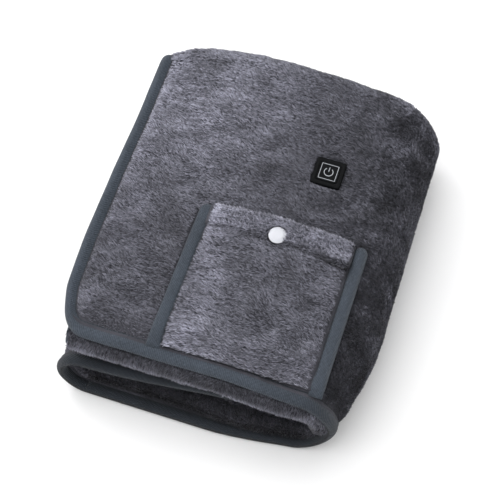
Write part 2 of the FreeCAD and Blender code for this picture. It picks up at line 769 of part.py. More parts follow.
turned("snap_cap", snap_x, snap_y, leaf_high + clearance, [
    (nothing, -pin_length), (pin, -pin_length), (pin, nothing), (cap_radius, nothing),
    (cap_radius, disc), (cap_radius * 0.6, disc * 2.3), (nothing, disc * 2.6)])
turned("snap_socket", snap_x, snap_y, panel_low - clearance - socket_height, [
    (cell("socket_bore"), nothing), (snap_radius, nothing), (snap_radius, socket_height),
    (nothing, socket_height), (nothing, socket_height - disc), (cell("socket_bore"), socket_height - disc)])
turned("snap_stud", snap_x, snap_y, seat, [
    (nothing, nothing), (snap_radius, nothing), (snap_radius, disc * 0.8), (post, disc * 0.8),
    (post, stud_height), (nothing, stud_height)])
cap_low = top - ply + fleece + clearance
turned("snap_backing_cap", snap_x, snap_y, cap_low, [
    (nothing, nothing), (snap_radius, nothing), (snap_radius, disc), (pin, disc),
    (pin, seat - cap_low), (nothing, seat - cap_low)])

# ---- checks and export ----------------------------------------------------------------------

doc.recompute()
failed = [item.Label for item in doc.Objects if "Invalid" in item.State or "Error" in item.State]
if failed:
    raise RuntimeError("failed: " + ", ".join(failed))
for node in nodes:
    shape = node.Shape
    if shape.isNull() or not shape.isValid() or shape.Volume <= 0:
        raise RuntimeError("bad shape: " + node.Label)
os.makedirs("parts", exist_ok=True)
for node in nodes:
    node.Shape.exportStep("parts/%s.step" % node.Label)
    box = node.Shape.BoundBox
    print("%-22s %9.0f mm3  x %6.1f %6.1f  y %6.1f %6.1f  z %5.1f %5.1f  solids %d" % (
        node.Label, node.Shape.Volume, box.XMin, box.XMax, box.YMin, box.YMax, box.ZMin, box.ZMax,
        len(node.Shape.Solids)))
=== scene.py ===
"""Looks of the folded heated blanket: plush shells, edge tapes, patch pocket, pile and button."""

import json
import math

import bmesh
import bpy
import numpy as np
from mathutils import Matrix, Vector


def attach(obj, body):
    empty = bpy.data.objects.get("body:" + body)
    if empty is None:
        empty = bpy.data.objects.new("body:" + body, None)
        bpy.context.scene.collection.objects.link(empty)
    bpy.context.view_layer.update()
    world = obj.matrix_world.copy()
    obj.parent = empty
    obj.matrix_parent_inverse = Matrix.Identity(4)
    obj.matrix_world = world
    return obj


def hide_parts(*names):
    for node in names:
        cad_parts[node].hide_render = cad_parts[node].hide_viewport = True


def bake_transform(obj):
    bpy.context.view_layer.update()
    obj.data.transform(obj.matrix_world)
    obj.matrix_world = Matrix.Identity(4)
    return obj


MM = 0.001
TAU = 2 * math.pi
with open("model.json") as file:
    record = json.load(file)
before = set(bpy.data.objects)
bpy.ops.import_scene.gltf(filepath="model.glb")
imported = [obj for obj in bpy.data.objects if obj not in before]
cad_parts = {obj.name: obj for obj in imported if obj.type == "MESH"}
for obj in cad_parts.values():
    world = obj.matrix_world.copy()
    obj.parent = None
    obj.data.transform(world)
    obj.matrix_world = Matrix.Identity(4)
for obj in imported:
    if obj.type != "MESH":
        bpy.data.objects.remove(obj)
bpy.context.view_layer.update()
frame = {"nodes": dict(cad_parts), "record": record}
nodes = frame["nodes"]

# ---- sizes, in millimetres
FOLD_X, FOLD_R = 101.5, 46.5  # axis and radius of the right fold
LEFT_X, LEFT_R = -117.25, 30.75  # the same for the left fold
TOP_Z = 93.0
FLAP_END, INNER_END = -148.0, 106.0
PLY, PITCH, LAYER = 8.0, 8.4, 24.8  # one ply, ply to ply, and a layer of three plies
CORNER = 28.0
TAPE_W, TAPE_T = 13.0, 8.9
FRONT_TAPE = 1.27  # the tape is wider by this along the front
TAPE_FLAT = 0.025  # metres, before it is folded over the edge
BACK_Y = 163.6
BUTTON = (54.3, 76.0)
SNAP = (28.5, -8.0)
# Along the roll: the ends of the right fold, the floor, the left fold and each layer.
BASE_ARC = FOLD_R * math.pi / 2
BASE_FLOOR = BASE_ARC + FOLD_X - LEFT_X
BASE_LEFT = BASE_FLOOR + LEFT_R * math.pi
BASE_LENGTH = BASE_LEFT + INNER_END - LEFT_X
FLAP_LENGTH = BASE_ARC + FOLD_X - FLAP_END


def ramp(t):
    t = np.clip(t, 0.0, 1.0)
    return t * t * (3 - 2 * t)


def waves(seed, size, count=14, stretch=(1.0, 1.0, 1.0)):
    """A smooth random field of about that wavelength, from -1 to 1."""
    dice = np.random.default_rng(seed)
    k = dice.normal(size=(count, 3))
    k *= (TAU / size * dice.uniform(0.6, 1.5, count) / np.linalg.norm(k, axis=1))[:, None]
    k /= np.array(stretch)
    phase = dice.uniform(0, TAU, count)

    def field(p):
        return np.sin(p @ k.T + phase).sum(-1) / math.sqrt(count) * 0.8

    return field


lumps = waves(11, 130.0)
ripples = waves(12, 45.0)
patches = waves(13, 34.0)
crushed = waves(14, 30.0, 30)
comb = waves(15, 60.0)
dashes = waves(17, 1.0, 40, stretch=(13.0, 3.0, 4.0))
comb_fine = waves(16, 22.0)
flecks = waves(18, 6.5, 48)


# ---- the roll
def flap_path(u):
    """Point and outward normal of the flap's outer face, from the right fold's middle leftwards."""
    a = np.clip(u / FOLD_R, 0, math.pi / 2)
    run = np.maximum(u - BASE_ARC, 0)
    x = FOLD_X + FOLD_R * np.cos(a) - run
    z = FOLD_R + FOLD_R * np.sin(a)
    return x, z, np.cos(a), np.sin(a)


def base_path(u):
    """The same for the layer below: round the right fold, along the floor, up the left and back."""
    a = -np.clip(u / FOLD_R, 0, math.pi / 2)
    b = -math.pi / 2 - np.clip((u - BASE_FLOOR) / LEFT_R, 0, math.pi)
    on_left = u > BASE_FLOOR
    x = np.where(
        on_left,
        LEFT_X + LEFT_R * np.cos(b) + np.maximum(u - BASE_LEFT, 0),
        FOLD_X + FOLD_R * np.cos(a) - np.maximum(u - BASE_ARC, 0),
    )
    z = np.where(on_left, LEFT_R + LEFT_R * np.sin(b), FOLD_R + FOLD_R * np.sin(a))
    nx = np.where(on_left, np.cos(b), np.cos(a))
    nz = np.where(on_left, np.sin(b), np.sin(a))
    return x, z, nx, nz


def soften(p):
    """The folded blanket's soft shape: fuller at the back, drawn in at the front corners."""
    p = np.array(p, float)
    x, y, z = p[..., 0], p[..., 1], p[..., 2]
    high = np.clip(z / TOP_Z, 0, 1.1)
    mid = np.clip(1 - np.abs(x / 152) ** 2.6, 0, 1)
    back = ramp((y - 70) / 110)
    calm = 1 - np.exp(-(((x - BUTTON[0]) ** 2 + (y - BUTTON[1]) ** 2) / 42**2))
    calm *= 1 - np.exp(-(((x - SNAP[0]) ** 2 + (y - SNAP[1]) ** 2) / 34**2))
    pinch = -15.5 * ramp((-62 - y) / 110) * ramp((x - 58) / 90)
    flap_tuck = 4.5 * ramp((-100 - y) / 60) + 3.5 * ramp((-108 - y) / 30)
    loop_tuck = 10.5 * ramp((-45 - y) / 70) - 3.0 * ramp((-145 - y) / 28)
    flap_tuck = flap_tuck + 8.0 * ramp((-112 - y) / 45) * ramp((87 - z) / 4)
    tuck = (loop_tuck + (flap_tuck - loop_tuck) * ramp((z - 56) / 8)) * ramp((-60 - x) / 88)
    lump = lumps(p) * 1.5 + ripples(p) * 0.5
    out = p.copy()
    fuller = -2.4 * np.exp(-(((y + 55) / 42) ** 2)) * ramp((-80 - x) / 60)
    out[..., 0] += pinch + tuck + fuller + lumps(p + 300) * 1.1 * high
    out[..., 1] += 12.5 * mid * back - 7.5 * (1 - mid) * ramp((y - 110) / 50)
    out[..., 1] -= 6.5 * ramp((-112 - x) / 30) * ramp((y - 100) / 50)
    out[..., 2] += (5.5 * mid * back + 1.4 * mid) * high * calm + lump * high * calm
    out[..., 2] = np.maximum(out[..., 2], 0.1)
    return out


def placed(path, u, y, h):
    """Layer coordinates (along the roll, along Y, height over the outer face) to millimetres."""
    u, y, h = np.broadcast_arrays(np.asarray(u, float), y, h)
    x, z, nx, nz = path(u)
    return soften(np.stack([x + h * nx, y, z + h * nz], -1))


def flap_front(u):
    """Where the flap's bound front edge lies."""
    x = flap_path(u)[0]
    return -156.5 - 3.2 * ramp((x - 20) / 82) - 2.3 * ramp((BASE_ARC - u) / BASE_ARC)


def base_front(u):
    """The same for the layer that runs under the blanket and back inside it."""
    first = -162.0 - 9.0 * ramp(u / BASE_ARC)
    second = -9.5 * ramp((u - BASE_ARC + 20) / 110)
    third = 7.0 * ramp((u - BASE_FLOOR) / (LEFT_R * math.pi))
    fourth = 13.0 * ramp((u - BASE_LEFT) / 190)
    return first + second + third + fourth


def flap_inner_front(u):
    """The unbound front fold of the two plies inside the flap."""
    return flap_front(u) - 6.2 + 5.0 * ramp((BASE_ARC * 1.4 - u) / BASE_ARC)


def base_inner_front(u):
    """The unbound front fold of the two plies inside the layer below."""
    further = 5.5 * ramp((u - BASE_ARC - 20) / 120) + 1.0 * ramp((u - BASE_FLOOR) / 60)
    return base_front(u) + 9.5 + further


# ---- mesh helpers
def added(name, data):
    ob = bpy.data.objects.new(name, data)
    bpy.context.scene.collection.objects.link(ob)
    return ob


def mesh_from(name, points, faces, uv=None):
    """An object from points in millimetres, with a UV layer in metres where uv gives one."""
    me = bpy.data.meshes.new(name)
    me.from_pydata((np.asarray(points).reshape(-1, 3) * MM).tolist(), [], faces)
    me.validate()
    me.polygons.foreach_set("use_smooth", np.ones(len(me.polygons), bool))
    if uv is not None:
        layer = me.uv_layers.new(name="Cloth")
        index = np.empty(len(me.loops), np.int32)
        me.loops.foreach_get("vertex_index", index)
        layer.data.foreach_set("uv", np.asarray(uv, np.float32)[index].ravel())
    me.update()
    return added(name, me)


def grid_faces(nu, nv, closed_v, caps):
    """Quads of a grid of nu rows of nv points, whose rows may be closed and whose ends capped."""
    i = np.arange(nu - 1)[:, None]
    j = np.arange(nv if closed_v else nv - 1)[None, :]
    k = (j + 1) % nv
    quads = np.stack([i * nv + j, i * nv + k, (i + 1) * nv + k, (i + 1) * nv + j], -1)
    faces = quads.reshape(-1, 4).tolist()
    if caps:
        faces.append(list(range(nv))[::-1])
        faces.append(list(range((nu - 1) * nv, nu * nv)))
    return faces


def outward(ob):
    """Turns every face of a closed piece outwards and splits its end caps into triangles."""
    bm = bmesh.new()
    bm.from_mesh(ob.data)
    big = [f for f in bm.faces if len(f.verts) > 4]
    for f in bm.faces:
        f.smooth = len(f.verts) <= 4
    bmesh.ops.triangulate(bm, faces=big)
    bmesh.ops.recalc_face_normals(bm, faces=bm.faces)
    bm.to_mesh(ob.data)
    bm.free()
    ob.data.update()
    return ob


def grid_piece(name, grid):
    """A closed piece from a row of closed sections, with UVs along and across it."""
    nu, nv = grid.shape[:2]
    step_u = np.linalg.norm(np.diff(grid, axis=0), axis=-1).mean(1)
    step_v = np.linalg.norm(np.diff(grid, axis=1), axis=-1).mean(0)
    along = np.concatenate([[0], np.cumsum(step_u)])
    across = np.concatenate([[0], np.cumsum(step_v)])
    uv = np.stack(np.meshgrid(along, across, indexing="ij"), -1).reshape(-1, 2) * MM
    return outward(mesh_from(name, grid, grid_faces(nu, nv, True, True), uv))


# ---- materials
def node_material(name):
    mat = bpy.data.materials.new(name)
    mat.use_nodes = True
    tree = mat.node_tree
    shader = tree.nodes["Principled BSDF"]
    return mat, tree, shader


def link(tree, a, b):
    tree.links.new(a, b)


def noise(tree, scale, detail=3.0):
    place = tree.nodes.new("ShaderNodeTexCoord")
    node = tree.nodes.new("ShaderNodeTexNoise")
    node.inputs["Scale"].default_value = scale
    node.inputs["Detail"].default_value = detail
    link(tree, place.outputs["Object"], node.inputs["Vector"])
    return node.outputs["Fac"]


def colours(tree, factor, stops):
    """Colours along a factor, from (position, colour) stops."""
    node = tree.nodes.new("ShaderNodeValToRGB")
    elements = node.color_ramp.elements
    while len(elements) < len(stops):
        elements.new(0.5)
    for element, (at, colour) in zip(elements, stops):
        element.position = at
        element.color = (*colour, 1)
    link(tree, factor, node.inputs["Fac"])
    return node.outputs["Color"]


def maths(tree, kind, a, b):
    node = tree.nodes.new("ShaderNodeMath")
    node.operation = kind
    for socket, value in zip(node.inputs, (a, b)):
        if isinstance(value, (int, float)):
            socket.default_value = value
        else:
            link(tree, value, socket)
    return node.outputs["Value"]


def weighted(tree, a, share_a, b, share_b):
    """Two values added in those shares."""
    parts = [maths(tree, "MULTIPLY", value, share) for value, share in ((a, share_a), (b, share_b))]
    return maths(tree, "ADD", *parts)


def mapped(tree, value, source, target, kind="LINEAR"):
    """A value carried from one range to another and held at its ends."""
    node = tree.nodes.new("ShaderNodeMapRange")
    node.interpolation_type = kind
    names = ("From Min", "From Max", "To Min", "To Max")
    for name, number in zip(names, (*source, *target)):
        node.inputs[name].default_value = number
    link(tree, value, node.inputs["Value"])
    return node.outputs["Result"]


def shaded(tree, colour, factor):
    """A colour made darker or lighter by a factor."""
    node = tree.nodes.new("ShaderNodeVectorMath")
    node.operation = "SCALE"
    link(tree, colour, node.inputs[0])
    link(tree, factor, node.inputs["Scale"])
    return node.outputs["Vector"]


def attribute(tree, name):
    node = tree.nodes.new("ShaderNodeAttribute")
    node.attribute_name = name
    return node.outputs["Fac"]


def surface(shader, roughness, sheen, specular):
    shader.inputs["Roughness"].default_value = roughness
    shader.inputs["Sheen Weight"].default_value = sheen
    shader.inputs["Specular IOR Level"].default_value = specular


def bump(tree, shader, height, distance, strength=1.0):
    node = tree.nodes.new("ShaderNodeBump")
    node.inputs["Distance"].default_value = distance
    node.inputs["Strength"].default_value = strength
    link(tree, height, node.inputs["Height"])
    link(tree, node.outputs["Normal"], shader.inputs["Normal"])


def scaled(colour, by):
    return tuple(c * by for c in colour)


PLUSH = (0.210, 0.211, 0.254)
TAPE = (0.039, 0.048, 0.062)


def plush_material(name, colour):
    """Knitted backing that shows between the tufts: darkened well below the pile's colour as
    painted shade between the tufts, with rows of loops.
    """
    mat, tree, shader = node_material(name)
    wide = noise(tree, 45.0, 4.0)
    tone = colours(tree, wide, [(0.3, scaled(colour, 0.16)), (0.7, scaled(colour, 0.34))])
    link(tree, tone, shader.inputs["Base Color"])
    bump(tree, shader, noise(tree, 900.0, 4.0), 0.0012)
    surface(shader, 0.95, 0.05, 0.15)
    return mat


def pile_material(name, colour):
    """Tufts: painted shade at the root and painted light at the tip, random light and dark patches,
    and the colour scaled by each tuft's painted light and shade.
    """
    mat, tree, shader = node_material(name)
    patch = maths(tree, "MULTIPLY_ADD", noise(tree, 38.0, 3.0), 0.5)
    patch.node.inputs[2].default_value = -0.25
    height = maths(tree, "ADD", attribute(tree, "tone"), patch)
    stops = ((0.0, 0.168), (0.35, 0.546), (0.65, 1.0), (1.0, 1.75))
    shade = colours(tree, height, [(at, scaled(colour, by)) for at, by in stops])
    link(tree, shaded(tree, shade, attribute(tree, "painted_light_and_mottle")), shader.inputs["Base Color"])
    shader.inputs["Sheen Roughness"].default_value = 0.45
    surface(shader, 0.72, 0.12, 0.10)
    return mat


def tape_material(name, colour, groove, start=1.0):
    """Woven edge tape: a fine twill, with a painted shadow along the groove of its stitch line and
    painted shade near its start, where start sets how dark.
    """
    mat, tree, shader = node_material(name)
    place = tree.nodes.new("ShaderNodeUVMap")
    place.uv_map = "Cloth"
    ribs = []
    for angle, scale in ((38, 175.0), (-52, 95.0)):
        turn = tree.nodes.new("ShaderNodeMapping")
        turn.inputs["Rotation"].default_value = (0, 0, math.radians(angle))
        wave = tree.nodes.new("ShaderNodeTexWave")
        wave.inputs["Scale"].default_value = scale
        wave.inputs["Distortion"].default_value = 1.2
        wave.inputs["Detail"].default_value = 1.0
        link(tree, place.outputs["UV"], turn.inputs["Vector"])
        link(tree, turn.outputs["Vector"], wave.inputs["Vector"])
        ribs.append(wave.outputs["Fac"])
    weave = weighted(tree, ribs[0], 0.75, ribs[1], 0.25)
    grain = weighted(tree, noise(tree, 420.0, 3.0), 0.6, noise(tree, 45.0, 4.0), 0.4)
    mixed = weighted(tree, weave, 0.26, grain, 0.8)
    tone = colours(tree, mixed, [(0.2, scaled(colour, 0.55)), (0.8, scaled(colour, 1.68))])
    parts = tree.nodes.new("ShaderNodeSeparateXYZ")
    link(tree, place.outputs["UV"], parts.inputs["Vector"])
    # Painted shadow in the stitch groove, and painted shade near the tape's start.
    away = maths(tree, "ABSOLUTE", maths(tree, "SUBTRACT", parts.outputs["Y"], groove), 0.0)
    groove_shade = mapped(tree, away, (0.0008, 0.0042), (0.30, 1.0), "SMOOTHSTEP")
    start_shade = mapped(tree, parts.outputs["X"], (0.004, 0.105), (start, 1.0))
    shade = shaded(tree, tone, maths(tree, "MULTIPLY", groove_shade, start_shade))
    link(tree, shade, shader.inputs["Base Color"])
    bump(tree, shader, weave, 0.0007, 0.9)
    surface(shader, 0.78, 0.08, 0.22)
    return mat


def moulded(name, colour, roughness, grain=700.0, depth=0.00012, spread=0.15, shine=0.5):
    """Moulded plastic, rubber, printed or plated parts with a fine grain."""
    mat, tree, shader = node_material(name)
    stops = [(0.3, scaled(colour, 1 - spread)), (0.7, scaled(colour, 1 + spread))]
    link(tree, colours(tree, noise(tree, 120.0, 4.0), stops), shader.inputs["Base Color"])
    bump(tree, shader, noise(tree, grain, 3.0), depth)
    surface(shader, roughness, 0.0, shine)
    return mat


# The lighter pile look is the pile with painted light; the darker and inside pile looks and the
# lower tape are copies with painted shade, and the flap's tape gets painted shade near its start on
# the right fold.
LOOKS = {
    "plush": plush_material("plush_backing", PLUSH),
    "pocket_plush": plush_material("pocket_backing", PLUSH),
    "pile": pile_material("plush_pile", PLUSH),
    "pile_light": pile_material("plush_pile_painted_light", scaled(PLUSH, 1.25)),
    "pile_dark": pile_material("plush_pile_painted_shade", scaled(PLUSH, 0.5)),
    "pile_inside": pile_material("plush_pile_inside_painted_shade", scaled(PLUSH, 0.75)),
    "edge_tape": tape_material("edge_tape_twill", TAPE, 0.0182, 0.40),
    "pocket_tape": tape_material("edge_tape_pocket", scaled(TAPE, 0.95), 0.0),
    "tape_below": tape_material("edge_tape_twill_lower_painted_shade", scaled(TAPE, 0.40), 0.0182),
}
# Colour and roughness, then where they differ grain, bump depth, colour spread and specular level.
MOULDED = {
    "thread": (scaled(TAPE, 0.55), 0.6, 2500.0, 0.0002),
    "felt": ((0.09, 0.09, 0.1), 0.95, 1500.0, 0.0006),
    "heating_line": ((0.28, 0.05, 0.03), 0.5),
    "lead_sheath": ((0.02, 0.02, 0.022), 0.5),
    "white_plastic": ((0.52, 0.53, 0.57), 0.38, 500.0, 0.00005, 0.03),
    "black_silicone": ((0.0032, 0.0036, 0.0042), 0.66, 1500.0, 0.0001, 0.15, 0.08),
    "white_ink": ((0.50, 0.52, 0.56), 0.5, 2500.0, 0.00003, 0.08),
    "light_guide": ((0.6, 0.62, 0.66), 0.3),
    "black_plastic": ((0.012, 0.012, 0.013), 0.45),
    "circuit_board": ((0.01, 0.11, 0.05), 0.4),
    "lamp": ((0.75, 0.75, 0.62), 0.25),
    "plated_steel": ((0.55, 0.55, 0.54), 0.3),
}
# Looks whose material needs another name: the CAD's own materials may have theirs.
RENAMED = {"thread": "stitching_thread", "lamp": "lamp_body"}
LOOKS.update({key: moulded(RENAMED.get(key, key), *facts) for key, facts in MOULDED.items()})
steel = LOOKS["plated_steel"].node_tree.nodes["Principled BSDF"]
steel.inputs["Metallic"].default_value = 1.0

for part in frame["record"]["subparts"]:
    skin = nodes[part["node"]].data.materials
    skin.clear()
    skin.append(LOOKS[part["material_slot"]])


def dressed(ob, look):
    """The object in one of the looks."""
    ob.data.materials.clear()
    ob.data.materials.append(LOOKS[look])
    return ob


# ---- riding on the bodies
UPPER = dict(a="fold", b="flap", start=(0.1303, 0, 0.0642), end=(0.1139, 0, 0.0806))
LOWER = dict(a="base", b="fold", start=(0.1139, 0, 0.0124), end=(0.1303, 0, 0.0288))
POCKET_MID = 0.0302
HALVES = {
    "left": dict(a="flap", b="pocket", start=(-0.0405, -0.07, 0.1), end=(POCKET_MID, -0.07, 0.1)),
    "right": dict(a="flap", b="pocket", start=(0.1009, -0.07, 0.1), end=(POCKET_MID, -0.07, 0.1)),
}


def bend(ob, how):
    """Rides on the body named; for a joint, stays put with its transform baked into its mesh."""
    if isinstance(how, str):
        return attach(ob, how)
    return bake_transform(ob)


# ---- plush shells
def smooth_steps(a, b, step):
    """Even steps of about that size from a to b."""
    return np.linspace(a, b, max(2, int(round(abs(b - a) / step)) + 1))


def shell_loop(front, inner_front, back):
    """A cross-section of the folded stack in (y, height): outer ply, back, inner fold and slit."""
    first = front + np.array([12.0, 15.0, 18.0, 21.5])
    outer_y = np.concatenate([first, np.linspace(front + 26, back, 52)])
    loop = [(front + 4.0, -6.4), (front + 2.4, -4.0), (front + 4.0, -1.8), (front + 9.0, -1.4)]
    loop += [(y, 0.2) for y in outer_y]
    r = LAYER / 2
    for t in np.linspace(0, math.pi, 11)[1:-1]:
        loop.append((back + r * math.sin(t), -r + r * math.cos(t)))
    loop += [(y, -LAYER) for y in np.linspace(back, inner_front + 8.2, 52)]
    r = PITCH - 0.2
    for t in np.linspace(0, math.pi, 11)[1:-1]:
        loop.append((inner_front + r - r * math.sin(t) * 1.1, -LAYER + r - r * math.cos(t)))
    deep = max(inner_front, front) + 44
    loop += [(y, -PITCH - 0.1) for y in np.linspace(inner_front + r, deep, 8)]
    loop.append((deep + 3, -PITCH + 0.15))
    loop += [(y, -PLY + 0.15) for y in np.linspace(deep, front + 14, 7)]
    return np.array(loop)


LOOP_PARTS = {
    "outer": slice(5, 61),
    "back": slice(59, 71),
    "inner": slice(69, 122),
    "front": slice(120, 132),
}


def layer_coords(stations, grid):
    """How far along the roll and along Y each point of a grid lies."""
    u = np.broadcast_to(np.asarray(stations)[:, None], grid.shape[:2])
    return np.stack([u, grid[..., 1]], -1)


def off_edge(front, end):
    """How far inside a layer's bound outline a point lies."""
    centre = end - CORNER

    def inside(where):
        u, y = where[..., 0], where[..., 1]
        f = front(u)
        corner_y = front(centre) + CORNER
        d = np.minimum(end - u, (y - f) / FRONT_TAPE)
        reach = np.hypot(u - centre, corner_y - y)
        share = np.clip((corner_y - y) / np.maximum(reach, 1e-6), 0, 1) ** 2
        round_ = (CORNER - reach) / (1 + (FRONT_TAPE - 1) * share)
        return np.where((u > centre) & (y < corner_y), round_, d)

    return inside


flap_off = off_edge(flap_front, FLAP_LENGTH)
base_off = off_edge(base_front, BASE_LENGTH)


def build_shell(path, stations, front, inner_front, off):
    """Sections all along a layer, whose outer face dips to the tape at its bound edges."""
    rows = []
    for u in stations:
        loop = shell_loop(front(u), inner_front(u), BACK_Y)
        outer = loop[LOOP_PARTS["outer"]]
        inside = off(np.stack([np.full(len(outer), u), outer[:, 0]], -1))
        outer[:, 1] -= 2.8 * np.exp(-np.maximum(inside - TAPE_W + 0.2, 0) / 2.4)
        rows.append(placed(path, u, loop[:, 0], loop[:, 1]))
    return np.array(rows)


def rounded_front(front, end, radius):
    """A front edge that turns a rounded corner before the layer's end."""
    centre = end - radius

    def edge(u):
        over = np.clip((u - centre) / radius, 0, 1)
        return front(u) + radius * (1 - math.sqrt(max(0.0, 1 - over * over)))

    return edge


def joined_steps(*runs):
    """Steps of one (start, end, step) run after another."""
    parts = [smooth_steps(*run) for run in runs]
    return np.concatenate([parts[0]] + [part[1:] for part in parts[1:]])


END_ZONE = 40.0  # millimetres before a layer's end, with finer steps for its rounded corner
flap_cut = FLAP_LENGTH - 4.0
base_cut = BASE_LENGTH - 4.0
flap_stations = joined_steps(
    (0, BASE_ARC, 4.5),
    (BASE_ARC, FLAP_LENGTH - END_ZONE, 5.5),
    (FLAP_LENGTH - END_ZONE, flap_cut, 3.0),
)
base_stations = joined_steps(
    (0, BASE_ARC, 4.5),
    (BASE_ARC, BASE_FLOOR, 6.5),
    (BASE_FLOOR, BASE_LEFT, 4.0),
    (BASE_LEFT, BASE_LENGTH - END_ZONE, 6.5),
    (BASE_LENGTH - END_ZONE, base_cut, 3.0),
)
flap_edge = rounded_front(flap_front, FLAP_LENGTH, CORNER)
base_edge = rounded_front(base_front, BASE_LENGTH, CORNER)
flap_grid = build_shell(flap_path, flap_stations, flap_edge, flap_inner_front, flap_off)
base_grid = build_shell(base_path, base_stations, base_edge, base_inner_front, base_off)


# ---- cloth simulation
def settle(grid, hold, swell, slack, reach, frames=16):
    """Cloth simulation of a padded face: it swells where hold is 0, no point further than reach."""
    ob = mesh_from("settling", grid, grid_faces(*grid.shape[:2], False, False))
    group = ob.vertex_groups.new(name="held")
    for number, share in enumerate(np.clip(hold, 0, 1).ravel()):
        group.add([number], float(share), "REPLACE")
    cloth = ob.modifiers.new("cloth", "CLOTH")
    fabric = dict(
        quality=6, mass=0.3, tension_stiffness=15, compression_stiffness=15, shear_stiffness=5,
        bending_stiffness=0.8, vertex_group_mass="held", shrink_min=-slack,
        use_pressure=True, uniform_pressure_force=swell,
    )
    for setting, value in fabric.items():
        setattr(cloth.settings, setting, value)
    cloth.settings.effector_weights.gravity = 0
    cloth.collision_settings.use_collision = False
    cloth.point_cache.frame_start = 1
    cloth.point_cache.frame_end = frames
    scene = bpy.context.scene
    for number in range(1, frames + 1):
        scene.frame_set(number)
    settled = ob.evaluated_get(bpy.context.evaluated_depsgraph_get()).data
    points = np.empty(len(settled.vertices) * 3, np.float32)
    settled.vertices.foreach_get("co", points)
    bpy.data.objects.remove(ob)
    scene.frame_set(1)
    move = points.reshape(grid.shape) / MM - grid
    far = np.maximum(np.linalg.norm(move, axis=-1, keepdims=True), 1e-9)
    return grid + move * (reach * np.tanh(far / reach) / far)


def flap_hold(where, p):
    """The flap's face is held at its bound edges and folds, under the pocket and the button."""
    x, y = p[..., 0], p[..., 1]
    bound = 1 - ramp((flap_off(where) - TAPE_W - 1) / 12)
    folds = np.maximum(1 - ramp(where[..., 0] / 22), ramp((y - BACK_Y + 16) / 14))
    outside = np.hypot(np.maximum(np.abs(x - 30) - 84, 0), np.maximum(y - 4, 0))
    pocket = 1 - ramp((outside - 1) / 14)
    button = 1 - ramp((np.hypot(x - BUTTON[0], y - BUTTON[1]) - 18) / 14)
    return np.maximum.reduce([bound, folds, pocket, button])


outer = flap_grid[:, LOOP_PARTS["outer"]]
hold = flap_hold(layer_coords(flap_stations, outer), outer)
outer = settle(outer[:, ::-1], hold[:, ::-1], swell=2.0, slack=0.009, reach=2.0)[:, ::-1]
from_button = np.abs(outer[..., :2] - BUTTON).max(-1)
outer[..., 2] -= 4.6 * (1 - ramp((from_button - 10.5) / 5.0))  # room for the key's travel
flap_grid[:, LOOP_PARTS["outer"]] = outer

seam = int(np.searchsorted(base_stations, BASE_FLOOR - 0.01))  # past it nothing follows the fold
for name, grid, layers, how in (
    ("flap_plush", flap_grid, ["flap"], UPPER),
    ("base_plush", base_grid[: seam + 1], ["base", "fold"], LOWER),
    ("base_inner_plush", base_grid[seam:], ["base"], "base"),
):
    ob = dressed(grid_piece(name, grid), "plush")
    for layer in layers:
        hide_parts(f"{layer}_face_fleece", f"{layer}_back_fleece", f"{layer}_inner_plies")
    bend(ob, how)


# ---- edge tape
def tape_profile(width, thick):
    """(inward, height) pairs of a folded tape: round, a crest, then down to the stitch line."""
    half = thick / 2
    top = []
    for t in np.linspace(0, 1, 14):
        rise = math.sqrt(max(0.0, 1 - (1 - min(t / 0.42, 1.0)) ** 2.0))
        fall = 0.62 * ramp((t - 0.42) / 0.5) + 0.10 * ramp((t - 0.86) / 0.14)
        top.append((width * t, half * (rise - fall)))
    bottom = [(a, -b) for a, b in top[::-1][:-1]]
    return np.array(top + bottom)


def edge_route(front, inner_front, end, step=4.0, tail=150.0):
    """Centre, inward and height directions of the tape along a layer's edge, in its coordinates."""
    rows = []
    centre = end - CORNER
    h1, h2, h3 = -PLY / 2, -PITCH * 2.5 + 0.2, -PITCH - PLY / 2
    for u in smooth_steps(0.0, centre, step):
        rows.append(((u, front(u), h1), (0, 1, 0), (0, 0, 1)))
    corner_y = front(centre) + CORNER
    for t in np.linspace(0, math.pi / 2, 12)[1:]:
        s, c = math.sin(t), math.cos(t)
        rows.append(((centre + CORNER * s, corner_y - CORNER * c, h1), (-s, c, 0), (0, 0, 1)))

    def straight(y0, y1, height, up):
        for y in smooth_steps(y0, y1, 6.0)[1:]:
            rows.append(((end, y, height), (-1, 0, 0), (0, 0, up)))

    def turned(y, high, low, steps):
        r = (high - low) / 2
        up = math.copysign(1, r)
        for t in np.linspace(0, math.pi, steps)[1:]:
            s, c = math.sin(t), math.cos(t)
            rows.append(((end, y + r * s, high - r + r * c), (-1, 0, 0), (0, up * s, up * c)))

    straight(corner_y, BACK_Y, h1, 1)
    turned(BACK_Y, h1, h2, 12)
    slit = inner_front(end) + 8.2
    straight(BACK_Y, slit, h2, -1)
    turned(slit, h2, h3, 8)
    straight(slit, slit + tail, h3, 1)
    return np.array(rows, float)


def front_share(inward):
    """1 where the tape runs along the front, falling to 0 round the corner."""
    return np.clip(inward[:, 1], 0, 1) ** 2


def sweep(path, route, profile):
    """The tape's closed sections along its route, wider along the front."""
    c, inward, up = route[:, 0], route[:, 1], route[:, 2]
    share = front_share(inward)[:, None]
    a = profile[None, :, 0] * (1 + (FRONT_TAPE - 1) * share)
    b = profile[None, :, 1] * (1 + 0.14 * share)
    flat = c[:, None] + a[..., None] * inward[:, None] + b[..., None] * up[:, None]
    return placed(path, flat[..., 0], flat[..., 1], flat[..., 2])


def route_length(path, route):
    """The length of a tape's middle line, in metres."""
    line = placed(path, route[:, 0, 0], route[:, 0, 1], route[:, 0, 2])
    return float(np.linalg.norm(np.diff(line, axis=0), axis=1).sum()) * MM


profile = tape_profile(TAPE_W, TAPE_T)
flap_route = edge_route(flap_front, flap_inner_front, FLAP_LENGTH)
base_route = edge_route(base_front, base_inner_front, BASE_LENGTH)
joint = int(np.searchsorted(base_route[:, 0, 0], BASE_FLOOR))
to_joint, past_joint = base_route[: joint + 1], base_route[joint:]
flap_nodes = ("flap_edge_binding", "flap_inner_binding", "fold_edge_binding")
edge_nodes = ("base_edge_binding",)
inner_nodes = ("inner_end_binding", "inner_ply_binding")
